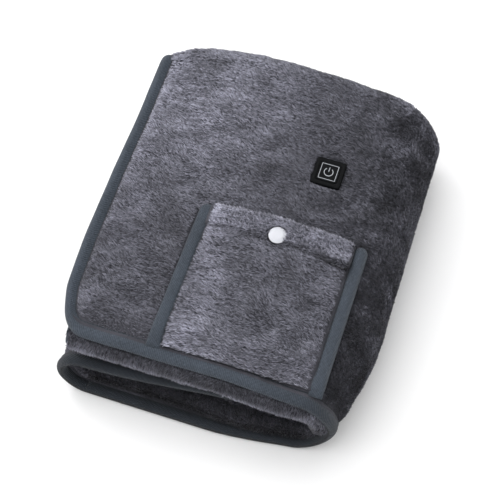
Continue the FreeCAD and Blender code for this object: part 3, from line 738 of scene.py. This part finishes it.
# Name, path, route, look, CAD nodes it stands for, what it rides on, and the plush it lies on.
for name, path, route, look, stands_for, how, below in (
    ("flap_edge_tape", flap_path, flap_route, "edge_tape", flap_nodes, UPPER, "flap_plush"),
    ("base_edge_tape", base_path, to_joint, "tape_below", edge_nodes, LOWER, "base_plush"),
    ("base_inner_tape", base_path, past_joint, "tape_below", inner_nodes, "base", "base_plush"),
):
    ob = dressed(grid_piece(name, sweep(path, route, profile)), look)
    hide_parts(*stands_for)
    bend(ob, how)
    flat = (TAPE_FLAT, route_length(path, route))


# ---- stitches
STITCH, STITCH_GAP, THREAD = 3.0, 1.3, 0.45
RINGS, SIDES = 5, 5


def stitch_piece(name, line, up):
    """A row of stitches: short humped strands along a line of points in millimetres."""
    seg = np.linalg.norm(np.diff(line, axis=0), axis=1)
    s = np.concatenate([[0], np.cumsum(seg)])
    starts = np.arange(STITCH_GAP, s[-1] - STITCH - STITCH_GAP, STITCH + STITCH_GAP)
    t = np.linspace(0, 1, RINGS)
    hump = np.sin(math.pi * t)
    size = THREAD * (0.45 + 0.55 * np.sin(math.pi * np.clip(t, 0.08, 0.92)))
    turn = TAU * np.arange(SIDES) / SIDES
    points, faces = [], []

    def at(value, data):
        return np.stack([np.interp(value, s, data[:, k]) for k in range(3)], -1)

    for start in starts:
        c = at(start + t * STITCH, line)
        above = at(start + t * STITCH, up)
        above /= np.linalg.norm(above, axis=1)[:, None]
        ahead = (c[-1] - c[0]) / max(np.linalg.norm(c[-1] - c[0]), 1e-6)
        side = np.cross(above, ahead)
        c = c + above * (0.25 * hump - 0.12)[:, None]
        rim = np.cos(turn)[:, None] * side[:, None] + 0.75 * np.sin(turn)[:, None] * above[:, None]
        strand = c[:, None] + size[:, None, None] * rim
        faces += [[len(points) + i for i in face] for face in grid_faces(RINGS, SIDES, True, True)]
        points += strand.reshape(-1, 3).tolist()
    return dressed(mesh_from(name, points, faces), "thread")


def stitch_line(path, route, inward, height):
    """Points along a tape that far inward and that high, and the way up at each."""
    wide = 1 + (FRONT_TAPE - 1) * front_share(route[:, 1])[:, None]
    c = route[:, 0] + route[:, 1] * inward * wide + route[:, 2] * height
    above = c + route[:, 2]
    p = placed(path, c[:, 0], c[:, 1], c[:, 2])
    q = placed(path, above[:, 0], above[:, 1], above[:, 2])
    return p, q - p


tail_rows = 26  # of a route, hidden inside the layer and left unsewn
for label, path, route, how in (
    ("flap", flap_path, flap_route[:-tail_rows], UPPER),
    ("base", base_path, to_joint, LOWER),
    ("base_inner", base_path, past_joint[:-tail_rows], "base"),
):
    line, up = stitch_line(path, route, TAPE_W - 1.5, TAPE_T * 0.19)
    bend(stitch_piece(f"{label}_tape_stitches", line, up), how)


# ---- pocket
POCKET_X0, POCKET_X1, POCKET_Y0 = -40.5, 100.9, -141.6
POCKET_TOP = 2.2
PANEL_DEEP, HEM_DEEP = 0.145, 0.022  # metres, cut size


def pocket_floor(x, y):
    """Height of the panel's underside."""
    fall = 5.0 * ramp((POCKET_Y0 + 20 - y) / 20)
    near = np.minimum(x - POCKET_X0, POCKET_X1 - x)
    edge = 1.5 * np.exp(-np.maximum(near, 0) / 5.0)
    return 98.9 - fall - edge


def pocket_crown(x, y):
    """How much the panel swells between its sewn sides."""
    t = (x - POCKET_MID / MM) / 70.7
    v = np.clip((y - POCKET_Y0) / 144, 0, 1)
    return 2.2 * np.clip(1 - t * t, 0, 1) * np.sin(math.pi * np.clip(v, 0, 1)) ** 0.6


def mouth_bulge(x, y):
    """The mouth's edge rises towards the middle of the pocket, as soft cloth under a snap does."""
    t = (x - POCKET_MID / MM) / 72
    return 4.5 * np.clip(1 - t * t, 0, 1) * ramp((y + 40) / 45)


def pocket_panel(halves):
    """The panel's closed sections, simulated in one piece and then parted at the middle."""
    xs = np.concatenate([halves["left"], halves["right"][1:]])
    ys = smooth_steps(POCKET_Y0 - 1.0, POCKET_TOP, 3.6)
    gx, gy = np.meshgrid(xs, ys, indexing="ij")
    low = pocket_floor(gx, gy)
    high = low + 2.6 + pocket_crown(gx, gy) + ripples(np.stack([gx, gy, gx * 0], -1)) * 0.35
    y = gy + mouth_bulge(gx, gy)
    sides = 1 - ramp((np.minimum(gx - xs[0], xs[-1] - gx) - 3) / 14)
    ends = np.maximum(1 - ramp((gy - ys[0] - 5) / 14), ramp((gy + 32) / 12))
    hold = np.maximum(sides, ends)
    over = settle(np.stack([gx, y, high], -1), hold, swell=1.5, slack=0.010, reach=1.5)
    under = np.stack([gx, y, np.maximum(low, 93.3)], -1)[:, ::-1]
    whole = np.concatenate([over, under], 1)
    cut = len(halves["left"])
    return {"left": whole[:cut], "right": whole[cut - 1 :]}


def hem_edge(x):
    """How far below the mouth the hem's lower edge lies."""
    return -14.5 - 4.0 * ramp((x - 60) / 40)


def pocket_hem(xs):
    """The mouth's folded hem: round at the top, thinner at its lower edge, open at the right."""
    rows = []
    for x in xs:
        open_ = ramp((x - 68) / 24)
        deep = float(hem_edge(x))
        slack, thick = 3.8 * open_, 2.1
        base = float(pocket_floor(x, -8.0)) + 2.6 + float(pocket_crown(x, -8.0)) + 0.1
        loop = []
        for t in np.linspace(-math.pi / 2, math.pi / 2, 9):
            loop.append((1.3 + 3.4 * math.cos(t), base + 0.1 + 1.9 * math.sin(t)))
        for s in np.linspace(0, 1, 8)[1:]:
            thin = thick * (1 - 0.35 * ramp((s - 0.35) / 0.65) * (1 - open_))
            loop.append((deep * s, base + thin + slack * ramp(s * 1.6 - 0.6)))
        loop.append((deep - 1.2, base + 0.4 + (slack + 0.7) * open_))
        for s in np.linspace(1, 0, 8)[:-1]:
            loop.append((deep * s, base + 0.25 + slack * ramp(s * 1.6 - 0.6)))
        loop = np.array(loop)
        y = loop[:, 0] + mouth_bulge(np.full(len(loop), x), loop[:, 0])
        rows.append(np.stack([np.full(len(loop), x), y, loop[:, 1]], -1))
    return np.array(rows)


mid = POCKET_MID / MM
halves = {
    "left": smooth_steps(POCKET_X0 - 1.5, mid, 3.6),
    "right": smooth_steps(mid, POCKET_X1 + 1.5, 3.6),
}
panels = pocket_panel(halves)
pocket_grids = {side: (panels[side], pocket_hem(xs)) for side, xs in halves.items()}
for side, xs in halves.items():
    width = float(xs[-1] - xs[0]) * MM
    for part, grid, depth in zip(("panel", "hem"), pocket_grids[side], (PANEL_DEEP, HEM_DEEP)):
        ob = dressed(grid_piece(f"pocket_{part}_{side}", grid), "pocket_plush")
        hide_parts(f"pocket_{part}")
        bend(ob, HALVES[side])


def strip_middle(x_mid, lean, y):
    """Middle line of a pocket tape that leans by so much from its middle to its top."""
    return x_mid + lean * (y + 70) / 70


def strip_grid(x_mid, lean, width, y0, y1, z_low, z_high):
    """A folded tape lying flat: round sides, a slight crown, a rounded top end."""
    rows = []
    half = width / 2
    round_end = y1 - half + half * np.sin(np.linspace(0, math.pi / 2, 9))[1:-1]
    for y in np.concatenate([smooth_steps(y0, y1 - half, 4.0), round_end]):
        into = max(0.0, (y - (y1 - half)) / half)
        w = half * math.sqrt(max(0.02, 1 - into * into)) ** 0.55
        top = z_high - 2.2 * into**3 - 8.6 * ramp((POCKET_Y0 + 11 - y) / 17)
        for t in np.linspace(0, math.pi, 17):
            spread = math.copysign(abs(math.cos(t)) ** 0.75, math.cos(t))
            height = z_low + (top - z_low) * math.sin(t) ** 0.72
            rows.append((strip_middle(x_mid, lean, y) + w * spread, y, height))
    return np.array(rows).reshape(-1, 17, 3)


for side, x_mid, lean, width, toward in (
    ("left", -46.6, 1.4, 14.8, 1),
    ("right", 108.1, 0.3, 13.6, -1),
):
    grid = strip_grid(x_mid, lean, width, y0=POCKET_Y0 - 5.5, y1=6.5, z_low=92.4, z_high=101.9)
    ob = dressed(grid_piece(f"pocket_{side}_tape", grid), "pocket_tape")
    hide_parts(f"pocket_{side}_binding")
    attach(ob, "flap")
    ys = smooth_steps(POCKET_Y0 + 10, -2, 3.0)
    sewn = strip_middle(x_mid, lean, ys) + toward * (width / 2 - 1.9)
    line = np.stack([sewn, ys, np.full(len(ys), 100.4)], -1)
    row = stitch_piece(f"pocket_{side}_stitches", line, np.tile([0.0, 0.0, 1.0], (len(ys), 1)))
    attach(row, "flap")


# ---- button
def square_loop(half, corner, z):
    """A rounded square of points round the button's middle."""
    loop = []
    for quarter in np.arange(4) * math.pi / 2:
        for t in np.linspace(0, math.pi / 2, 7):
            x = math.copysign(half - corner, math.cos(quarter + math.pi / 4))
            y = math.copysign(half - corner, math.sin(quarter + math.pi / 4))
            x += BUTTON[0] + corner * math.cos(quarter + t)
            loop.append((x, BUTTON[1] + y + corner * math.sin(quarter + t), z))
    return loop


def closed_ring(sections):
    """Points and faces of a ring whose last section joins its first."""
    grid = np.array([square_loop(*section) for section in sections])
    nu, nv = grid.shape[:2]
    faces = grid_faces(nu, nv, True, False)
    last = (nu - 1) * nv
    faces += [[last + j, last + (j + 1) % nv, (j + 1) % nv, j] for j in range(nv)]
    return grid.reshape(-1, 3), faces


# Half width, corner radius and height: flange, wall, soft rim, then down into the key's hole.
FRAME_SECTIONS = (
    (16.5, 3.2, 92.2), (16.5, 3.2, 93.1), (15.0, 2.4, 93.25), (14.8, 2.3, 96.3),
    (14.65, 2.2, 96.9), (14.3, 2.1, 97.3), (13.7, 2.0, 97.5), (11.0, 2.6, 97.5),
    (10.7, 2.5, 97.35), (10.6, 2.5, 96.9), (10.6, 2.5, 92.2),
)
button_frame = outward(mesh_from("button_frame", *closed_ring(FRAME_SECTIONS)))
dressed(button_frame, "black_silicone")
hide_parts("button_bezel")
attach(button_frame, "flap")


def ribbon(line, width, low, high):
    """Points and faces of a flat stroke along a line of (x, y) points."""
    line = np.array(line, float)
    way = np.gradient(line, axis=0)
    side = np.stack([-way[:, 1], way[:, 0]], -1) / np.linalg.norm(way, axis=1)[:, None] * width / 2
    rows = [(line - side, low), (line + side, low), (line + side, high), (line - side, high)]
    grid = np.stack([np.column_stack([xy, np.full(len(line), z)]) for xy, z in rows], 1)
    return grid.reshape(-1, 3), grid_faces(len(line), 4, True, True)


def printed_sign():
    """A square outline with the usual power symbol in it, in thin raised ink on the key."""
    low, high, stroke = 97.8, 98.03, 0.55
    turn = np.radians(np.linspace(128, 412, 49))
    arc = BUTTON + 4.35 * np.stack([np.cos(turn), np.sin(turn)], -1)
    bar = [(BUTTON[0], BUTTON[1] + y) for y in (0.3, 2.8, 5.3)]
    outline = closed_ring([(8.5, 0.3, low), (8.5, 0.3, high), (8.1, 0.1, high), (8.1, 0.1, low)])
    points, faces = [], []
    for more, shape in (outline, ribbon(arc, stroke, low, high), ribbon(bar, stroke, low, high)):
        faces += [[len(points) + i for i in face] for face in shape]
        points += more.tolist()
    return mesh_from("key_sign_print", points, faces)


key_print = dressed(outward(printed_sign()), "white_ink")
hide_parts("key_sign")
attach(key_print, "power_button")


# ---- pile
# A tuft has two points at its foot, one at its ridge and one at its tip.
TUFT_FACES = np.array([[0, 1, 2], [1, 3, 2], [3, 0, 2], [0, 3, 1]])
TUFT_UV = np.array([[0.1, 0.1], [0.9, 0.1], [0.5, 0.5], [0.5, 0.92]])


def unit(v):
    return v / np.maximum(np.linalg.norm(v, axis=-1), 1e-9)[..., None]


def vertex_normals(grid):
    return unit(np.cross(np.gradient(grid, axis=0), np.gradient(grid, axis=1)))


def painted_light_and_mottle(p):
    """Painted light and shade on the flap: painted light at its back left and back middle, along
    the left tape and at the left front, painted shade towards the right fold, beside the pocket's
    right tape and at the front right, and random flecks, stronger at the right.
    """
    x, y = p[:, 0], p[:, 1]
    bright = 0.33 * np.exp(-(((x + 84) / 88) ** 2) - ((y - 112) / 85) ** 2)
    bright += 0.09 * ramp((-70 - x) / 50) * ramp((60 - y) / 60)
    bright += 0.12 * np.exp(-(((x - 10) / 60) ** 2) - ((y - 150) / 45) ** 2)
    # Painted shadow beside the pocket's right tape.
    bright -= 0.13 * np.exp(-(((x - 121) / 12) ** 2)) * ramp((32 - y) / 20)
    bright += 0.12 * np.exp(-(((x + 131) / 9) ** 2)) * ramp((y + 70) / 80)
    bright += crushed(p) * (0.03 + 0.15 * ramp((x - 60) / 50))
    bright += flecks(p) * (0.03 + 0.13 * ramp((x - 60) / 50))
    bright -= 0.13 * ramp((-40 - y) / 60) * ramp((x - 60) / 50)
    # Painted shade over the whole flap, deeper towards the right.
    return bright - 0.19 - 0.17 * ramp((x + 60) / 150)


def painted_light_front(p):
    """Painted light on the front folds' lower edge and painted shade above it, darker towards the
    right end; on the layer below, deep painted shade in the hollow, less towards its top.
    """
    z = p[:, 2]
    upper = 0.42 * ramp((84.5 - z) / 7) - 0.36 - 0.22 * ramp((p[:, 0] - 95) / 25)
    lower = 0.50 * ramp((z - 16) / 8) - 0.88
    return np.where(z > 60, upper, lower)


def painted_light_pocket(p):
    """Painted light beside the left tape, towards the pocket's bottom and on the hem, and a painted
    shadow along the crease under the hem's lower edge, deepest at the right.
    """
    x, y = p[:, 0], p[:, 1]
    below = y - hem_edge(x) - mouth_bulge(x, hem_edge(x)) + 2.4
    # Painted shadow along the crease under the hem.
    crease_shadow = np.exp(-((below / 2.3) ** 2)) * (0.12 + 0.50 * ramp((x - 68) / 22))
    bright = 0.10 * ramp((below - 2) / 3) - crease_shadow - 0.115
    return bright + 0.20 * np.exp(-(((x + 25) / 28) ** 2)) + 0.16 * ramp((-95 - y) / 40)


def grow(
    name, grid, coords, lay, density, look, slot_name, seed,
    length=4.5, width=1.02, lift=0.50, tone=0.0, flip=1,
    keep=None, stray=0.24, trim=None, brush=painted_light_and_mottle,
):
    """Tufts on a grid of points: small closed wedges that rise and lie over along the nap."""
    dice = np.random.default_rng(seed)
    a, b, c, d = grid[:-1, :-1], grid[1:, :-1], grid[1:, 1:], grid[:-1, 1:]
    halves_of_cell = (np.cross(b - a, d - a), np.cross(b - c, d - c))
    area = sum(np.linalg.norm(half, axis=-1) for half in halves_of_cell) / 2
    weight = (area * density / 100).ravel()
    count = int(weight.sum())
    cell = dice.choice(len(weight), size=count, p=weight / weight.sum())
    s, t = dice.random(count)[:, None], dice.random(count)[:, None]

    def across(field):
        w, x, y, z = (
            f.reshape(-1, field.shape[-1])[cell]
            for f in (field[:-1, :-1], field[1:, :-1], field[1:, 1:], field[:-1, 1:])
        )
        return (w * (1 - s) + x * s) * (1 - t) + (z * (1 - s) + y * s) * t

    root, where = across(grid), across(coords)
    normal = unit(across(vertex_normals(grid))) * flip
    along = across(lay)
    if keep is not None:
        chosen = keep(root, where)
        root, normal, along, where = root[chosen], normal[chosen], along[chosen], where[chosen]
        count = len(root)
    along = unit(along - (along * normal).sum(1)[:, None] * normal)
    side = np.cross(normal, along)
    turn = comb(root) * 0.30 + comb_fine(root) * 0.26 + dice.normal(0, stray, count)
    nap = np.cos(turn)[:, None] * along + np.sin(turn)[:, None] * side
    flat = np.cos(turn)[:, None] * side - np.sin(turn)[:, None] * along
    roll = dice.normal(0, 0.35, count)[:, None]
    broad = np.cos(roll) * flat + np.sin(roll) * normal
    clump = dashes(root)
    size = length * dice.uniform(0.75, 1.2, count)
    if trim is not None:
        size = size * trim(where)
    size = size[:, None]
    wide = (width * dice.uniform(0.65, 1.3, count))[:, None] / 2
    rise = lift * (1 + 0.3 * patches(root) + 0.35 * clump) + dice.normal(0, 0.08, count)
    rise = np.clip(rise, 0.1, 1.3)[:, None]
    foot = root - normal * 0.6
    ridge = root + size * 0.42 * (normal * np.sin(rise * 1.5) + nap * np.cos(rise * 1.5))
    tip = ridge + size * 0.58 * (normal * np.sin(rise * 0.4) + nap * np.cos(rise * 0.4))
    points = np.stack([foot - broad * wide, foot + broad * wide, ridge, tip], 1)
    points[..., 2] = np.maximum(points[..., 2], 0.06)
    own = 0.46 + 0.09 * patches(root) + 0.13 * clump + dice.normal(0, 0.20, count)
    # Painted shade at each tuft's root and painted light at its tip.
    shade = np.stack([own - 0.34, own - 0.34, own, own + 0.22], 1)
    # The colour is scaled by painted light and shade: the field passed in, plus the face's tone
    # offset.
    return tuft_object(name, points, shade, np.exp(2.3 * (brush(root) + tone)), look)


def tuft_object(name, points, shade, lit, look):
    count = len(points)
    me = bpy.data.meshes.new(name)
    me.vertices.add(count * 4)
    me.vertices.foreach_set("co", (points.reshape(-1) * MM).astype(np.float32))
    corner = (np.arange(count)[:, None, None] * 4 + TUFT_FACES[None]).reshape(-1)
    me.loops.add(len(corner))
    me.loops.foreach_set("vertex_index", corner.astype(np.int32))
    me.polygons.add(count * 4)
    me.polygons.foreach_set("loop_start", np.arange(0, count * 12, 3, dtype=np.int32))
    me.update(calc_edges=True)
    tones = me.attributes.new("tone", "FLOAT", "POINT")
    tones.data.foreach_set("value", np.clip(shade, 0, 1).reshape(-1).astype(np.float32))
    # Painted light and shade, a factor on each tuft's colour.
    nap = me.attributes.new("painted_light_and_mottle", "FLOAT", "POINT")
    nap.data.foreach_set("value", np.repeat(lit, 4).astype(np.float32))
    cells = int(math.ceil(math.sqrt(count)))
    number = np.arange(count)
    origin = np.stack([number % cells, number // cells], -1)[:, None]
    uv = ((origin + TUFT_UV[None]) / cells).reshape(-1, 2)[corner]
    layer = me.uv_layers.new(name="OFBake")
    layer.data.foreach_set("uv", uv.astype(np.float32).ravel())
    return dressed(added(name, me), look)


def clear_of_fittings(p):
    """False under the pocket and over the button."""
    pocket = (p[:, 0] > -53.0) & (p[:, 0] < 113.5) & (p[:, 1] < 0.5) & (p[:, 1] > -148)
    button = (np.abs(p[:, 0] - BUTTON[0]) < 14.4) & (np.abs(p[:, 1] - BUTTON[1]) < 14.4)
    return ~((pocket | button) & (p[:, 2] > 84))


def flap_keep(p, where):
    """The nap lies towards the left end, so tufts start further from the tape there."""
    limit = TAPE_W - 1.9 + 3.6 * ramp((where[:, 0] - FLAP_LENGTH + 50) / 25)
    return (flap_off(where) > limit) & clear_of_fittings(p)


def base_keep(p, where):
    return base_off(where) > TAPE_W - 0.8


def trimmed(off):
    """Short tufts beside a bound edge, full ones further in."""
    return lambda where: 0.45 + 0.55 * ramp((off(where) - TAPE_W + 1) / 9)


def end_keep(end):
    """True further from a layer's end than its tape is wide."""
    return lambda p, where: end - where[:, 0] > TAPE_W - 0.5


def shell_pile(layer, key, tag, rows, density, look, seed, keep, **more):
    """Pile on one face of a shell, between two stations along the roll."""
    grid, stations, way = LAYERS[layer]
    lo = max(int(np.searchsorted(stations, rows[0])) - 1, 0)
    hi = min(int(np.searchsorted(stations, rows[1])) + 1, len(stations))
    part = grid[lo:hi, LOOP_PARTS[key]]
    coords = layer_coords(stations[lo:hi], part)
    if key == "front":
        lay = -np.gradient(part, axis=1)
    else:
        lay = np.gradient(part, axis=0) * way

    def inside(p, where):
        return (where[:, 0] >= rows[0]) & (where[:, 0] < rows[1]) & keep(p, where)

    name = f"pile_{layer}_{key}{tag}"
    more.update(keep=inside, flip=-way)
    ob = grow(name, part, coords, unit(lay), density, look, "plush", seed, **more)
    if layer == "flap":
        bend(ob, UPPER)
    else:
        bend(ob, LOWER if rows[0] < BASE_FLOOR else "base")


def everywhere(p, where):
    return np.ones(len(p), bool)


# Each layer's grid, its stations, and 1 or -1 for the way its nap lies along the roll.
LAYERS = {"flap": (flap_grid, flap_stations, 1), "base": (base_grid, base_stations, -1)}
whole = (0, FLAP_LENGTH)
near, beyond = (0, BASE_FLOOR), (BASE_FLOOR, BASE_LENGTH)
fold_rows, floor_rows = (0, BASE_ARC), (BASE_ARC, BASE_FLOOR)
left_rows, inside_rows = (BASE_FLOOR, BASE_LEFT), (BASE_LEFT, BASE_LENGTH)
first_cut, second_cut = FLAP_LENGTH - 165, FLAP_LENGTH - 90
flap_end, base_end = end_keep(FLAP_LENGTH), end_keep(BASE_LENGTH)
on_flap, on_base = dict(trim=trimmed(flap_off)), dict(trim=trimmed(base_off))
coarse, coarser = dict(width=1.5, length=6), dict(width=2.2, length=6)
# Tone offsets below paint shade on the folds, the left loop and the back faces; the dark pile is
# painted shade on the floor and in the hollow, the light pile painted light on the flap's front
# fold, and the inside pile painted shade.
behind = dict(tone=-0.05, width=1.5)
upright = dict(length=6.0, lift=0.6)
lit_front = dict(lift=0.6, brush=painted_light_front)
# Layer, face, tag, stations, density, look, seed, where it grows, and what else differs.
PILES = (
    ("flap", "outer", "_left", (second_cut, FLAP_LENGTH), 150, "pile", 21, flap_keep, on_flap),
    ("flap", "outer", "_middle", (first_cut, second_cut), 150, "pile", 22, flap_keep, on_flap),
    ("flap", "outer", "_right", (BASE_ARC, first_cut), 150, "pile", 27, flap_keep, on_flap),
    ("flap", "outer", "_fold", fold_rows, 130, "pile", 23, flap_keep, on_flap | dict(tone=-0.1)),
    ("flap", "back", "", whole, 110, "pile", 24, flap_end, {}),
    ("flap", "inner", "", whole, 56, "pile_inside", 25, flap_end, coarse),
    ("flap", "front", "", whole, 130, "pile_light", 26, everywhere, lit_front | dict(length=5.0)),
    ("base", "outer", "_fold", fold_rows, 130, "pile", 31, base_keep, on_base | dict(tone=-0.12)),
    ("base", "outer", "_floor", floor_rows, 8, "pile_dark", 32, base_keep, dict(lift=0.2)),
    ("base", "outer", "_left", left_rows, 90, "pile", 33, base_keep, on_base | dict(tone=-0.1)),
    ("base", "outer", "_inside", inside_rows, 62, "pile_inside", 34, base_keep, coarse),
    ("base", "back", "", near, 80, "pile", 35, base_end, behind),
    ("base", "back", "_inside", beyond, 80, "pile", 55, base_end, behind),
    ("base", "inner", "", near, 16, "pile_inside", 36, base_end, coarser),
    ("base", "inner", "_inside", beyond, 16, "pile_inside", 56, base_end, coarser),
    ("base", "front", "", near, 120, "pile", 37, base_end, upright | lit_front),
    ("base", "front", "_inside", beyond, 120, "pile_dark", 57, base_end, upright),
)
for *row, more in PILES:
    shell_pile(*row, **more)

end_y = smooth_steps(float(flap_front(FLAP_LENGTH)) + CORNER, BACK_Y + 6, 6.0)
end_h = np.linspace(-PLY + 0.5, -PLY - PITCH, 4)
end_grid = placed(flap_path, flap_cut, end_y[None, :], end_h[:, None])
end_lay = np.broadcast_to([0.0, 1.0, 0.0], end_grid.shape)
end_pile = ("pile_flap_end", end_grid, end_grid[..., :2], end_lay, 150, "pile", "plush", 51)
bend(grow(*end_pile, flip=-1, lift=0.8, width=1.5), UPPER)


def pocket_keep(side):
    """True on one half of the pocket, clear of its tapes and of the snap."""

    def keep(p, where):
        x, y = p[:, 0], p[:, 1]
        on_side = x < mid if side == "left" else x >= mid
        off_snap = np.hypot(x - SNAP[0], y - SNAP[1]) > 9.3
        off_left = x - POCKET_X0 - 2.8 - 1.4 * (y + 70) / 70
        return on_side & off_snap & (off_left > 0) & (x < POCKET_X1)

    return keep


# The hem's tone lightens its pile with painted light; both faces take the pocket's painted light
# and shade.
for side, (panel, hem) in pocket_grids.items():
    for part, grid, flip, seed, more in (
        ("panel", panel[:, : panel.shape[1] // 2], 1, 41, {}),
        ("hem", hem[:, 3:18], -1, 43, dict(tone=0.06, lift=0.8, stray=0.8, length=5.5)),
    ):
        lay = np.broadcast_to([-1.0, 0.0, 0.0], grid.shape)
        name, seed = f"pile_pocket_{part}_{side}", seed + (side == "right")
        grown = (name, grid, grid[..., :2], lay, 150, "pile", "pocket_plush", seed)
        ob = grow(*grown, keep=pocket_keep(side), flip=flip, brush=painted_light_pocket, **more)
        bend(ob, HALVES[side])


# ---- camera, floor and light
def camera():
    """The photo's view: the azimuth, elevation and roll of a camera that looks at the parcel."""
    az, el, roll = (math.radians(v) for v in (18.66, 64.65, -0.7))
    back = Vector((math.sin(az) * math.cos(el), -math.cos(az) * math.cos(el), math.sin(el)))
    right = Vector((math.cos(az), math.sin(az), 0))
    up = back.cross(right)
    tilt_right = right * math.cos(roll) + up * math.sin(roll)
    tilt_up = up * math.cos(roll) - right * math.sin(roll)
    data = bpy.data.cameras.new("view")
    data.lens = 93.3
    target, distance = Vector((0.0002, -0.0058, 0.05)), 1.279
    data.sensor_width = 36
    data.clip_start, data.clip_end = 0.05, 20
    spot = target + back * distance
    ob = bpy.context.scene.camera = added("view", data)
    turn = Matrix((tilt_right, tilt_up, back)).transposed().to_4x4()
    ob.matrix_world = Matrix.Translation(spot) @ turn


def floor_and_sweep():
    """A wide round floor that rises smoothly into a pale backdrop far behind everything."""
    around = np.linspace(0, TAU, 49)[:-1]
    reach = np.concatenate([[1.0], np.linspace(400, 4000, 7), np.linspace(4400, 9000, 12)])
    rise = 5200 * np.clip((reach - 4000) / 5000, 0, 1) ** 2 - 0.3
    rim = np.stack([np.cos(around), np.sin(around)], -1)
    flat = reach[:, None, None] * rim
    height = np.broadcast_to(rise[:, None, None], (*flat.shape[:2], 1))
    faces = grid_faces(*flat.shape[:2], True, False) + [list(range(len(around)))[::-1]]
    ob = mesh_from("floor", np.concatenate([flat, height], -1), faces)
    mat, tree, shader = node_material("floor_paper")
    tone = colours(tree, noise(tree, 3.0), [(0.3, (0.86, 0.86, 0.865)), (0.7, (0.9, 0.9, 0.9))])
    link(tree, tone, shader.inputs["Base Color"])
    shader.inputs["Roughness"].default_value = 0.9
    ob.data.materials.append(mat)


def aimed(way):
    """A light's turn, so that it shines that way."""
    return Vector(way).to_track_quat("-Z", "Y").to_matrix().to_4x4()


camera()
floor_and_sweep()
window = bpy.data.lights.new("window", "AREA")
window.size = 0.5
window.energy = 2.3
spot = Vector((-0.72, 0.40, 0.80))
turn = aimed((Vector((-0.05, 0.0, 0.07)) - spot).normalized())
added("window", window).matrix_world = Matrix.Translation(spot) @ turn
sky = bpy.data.lights.new("sky", "SUN")
sky.energy = 3.3
sky.angle = math.radians(90)
added("sky", sky).matrix_world = aimed((0.40, -0.16, -1.0))
world = bpy.data.worlds.new("studio")
bpy.context.scene.world = world
world.use_nodes = True
backdrop = world.node_tree.nodes["Background"]
backdrop.inputs["Color"].default_value = (1, 1, 1, 1)
backdrop.inputs["Strength"].default_value = 0.30
bpy.context.scene.view_settings.view_transform = "Standard"
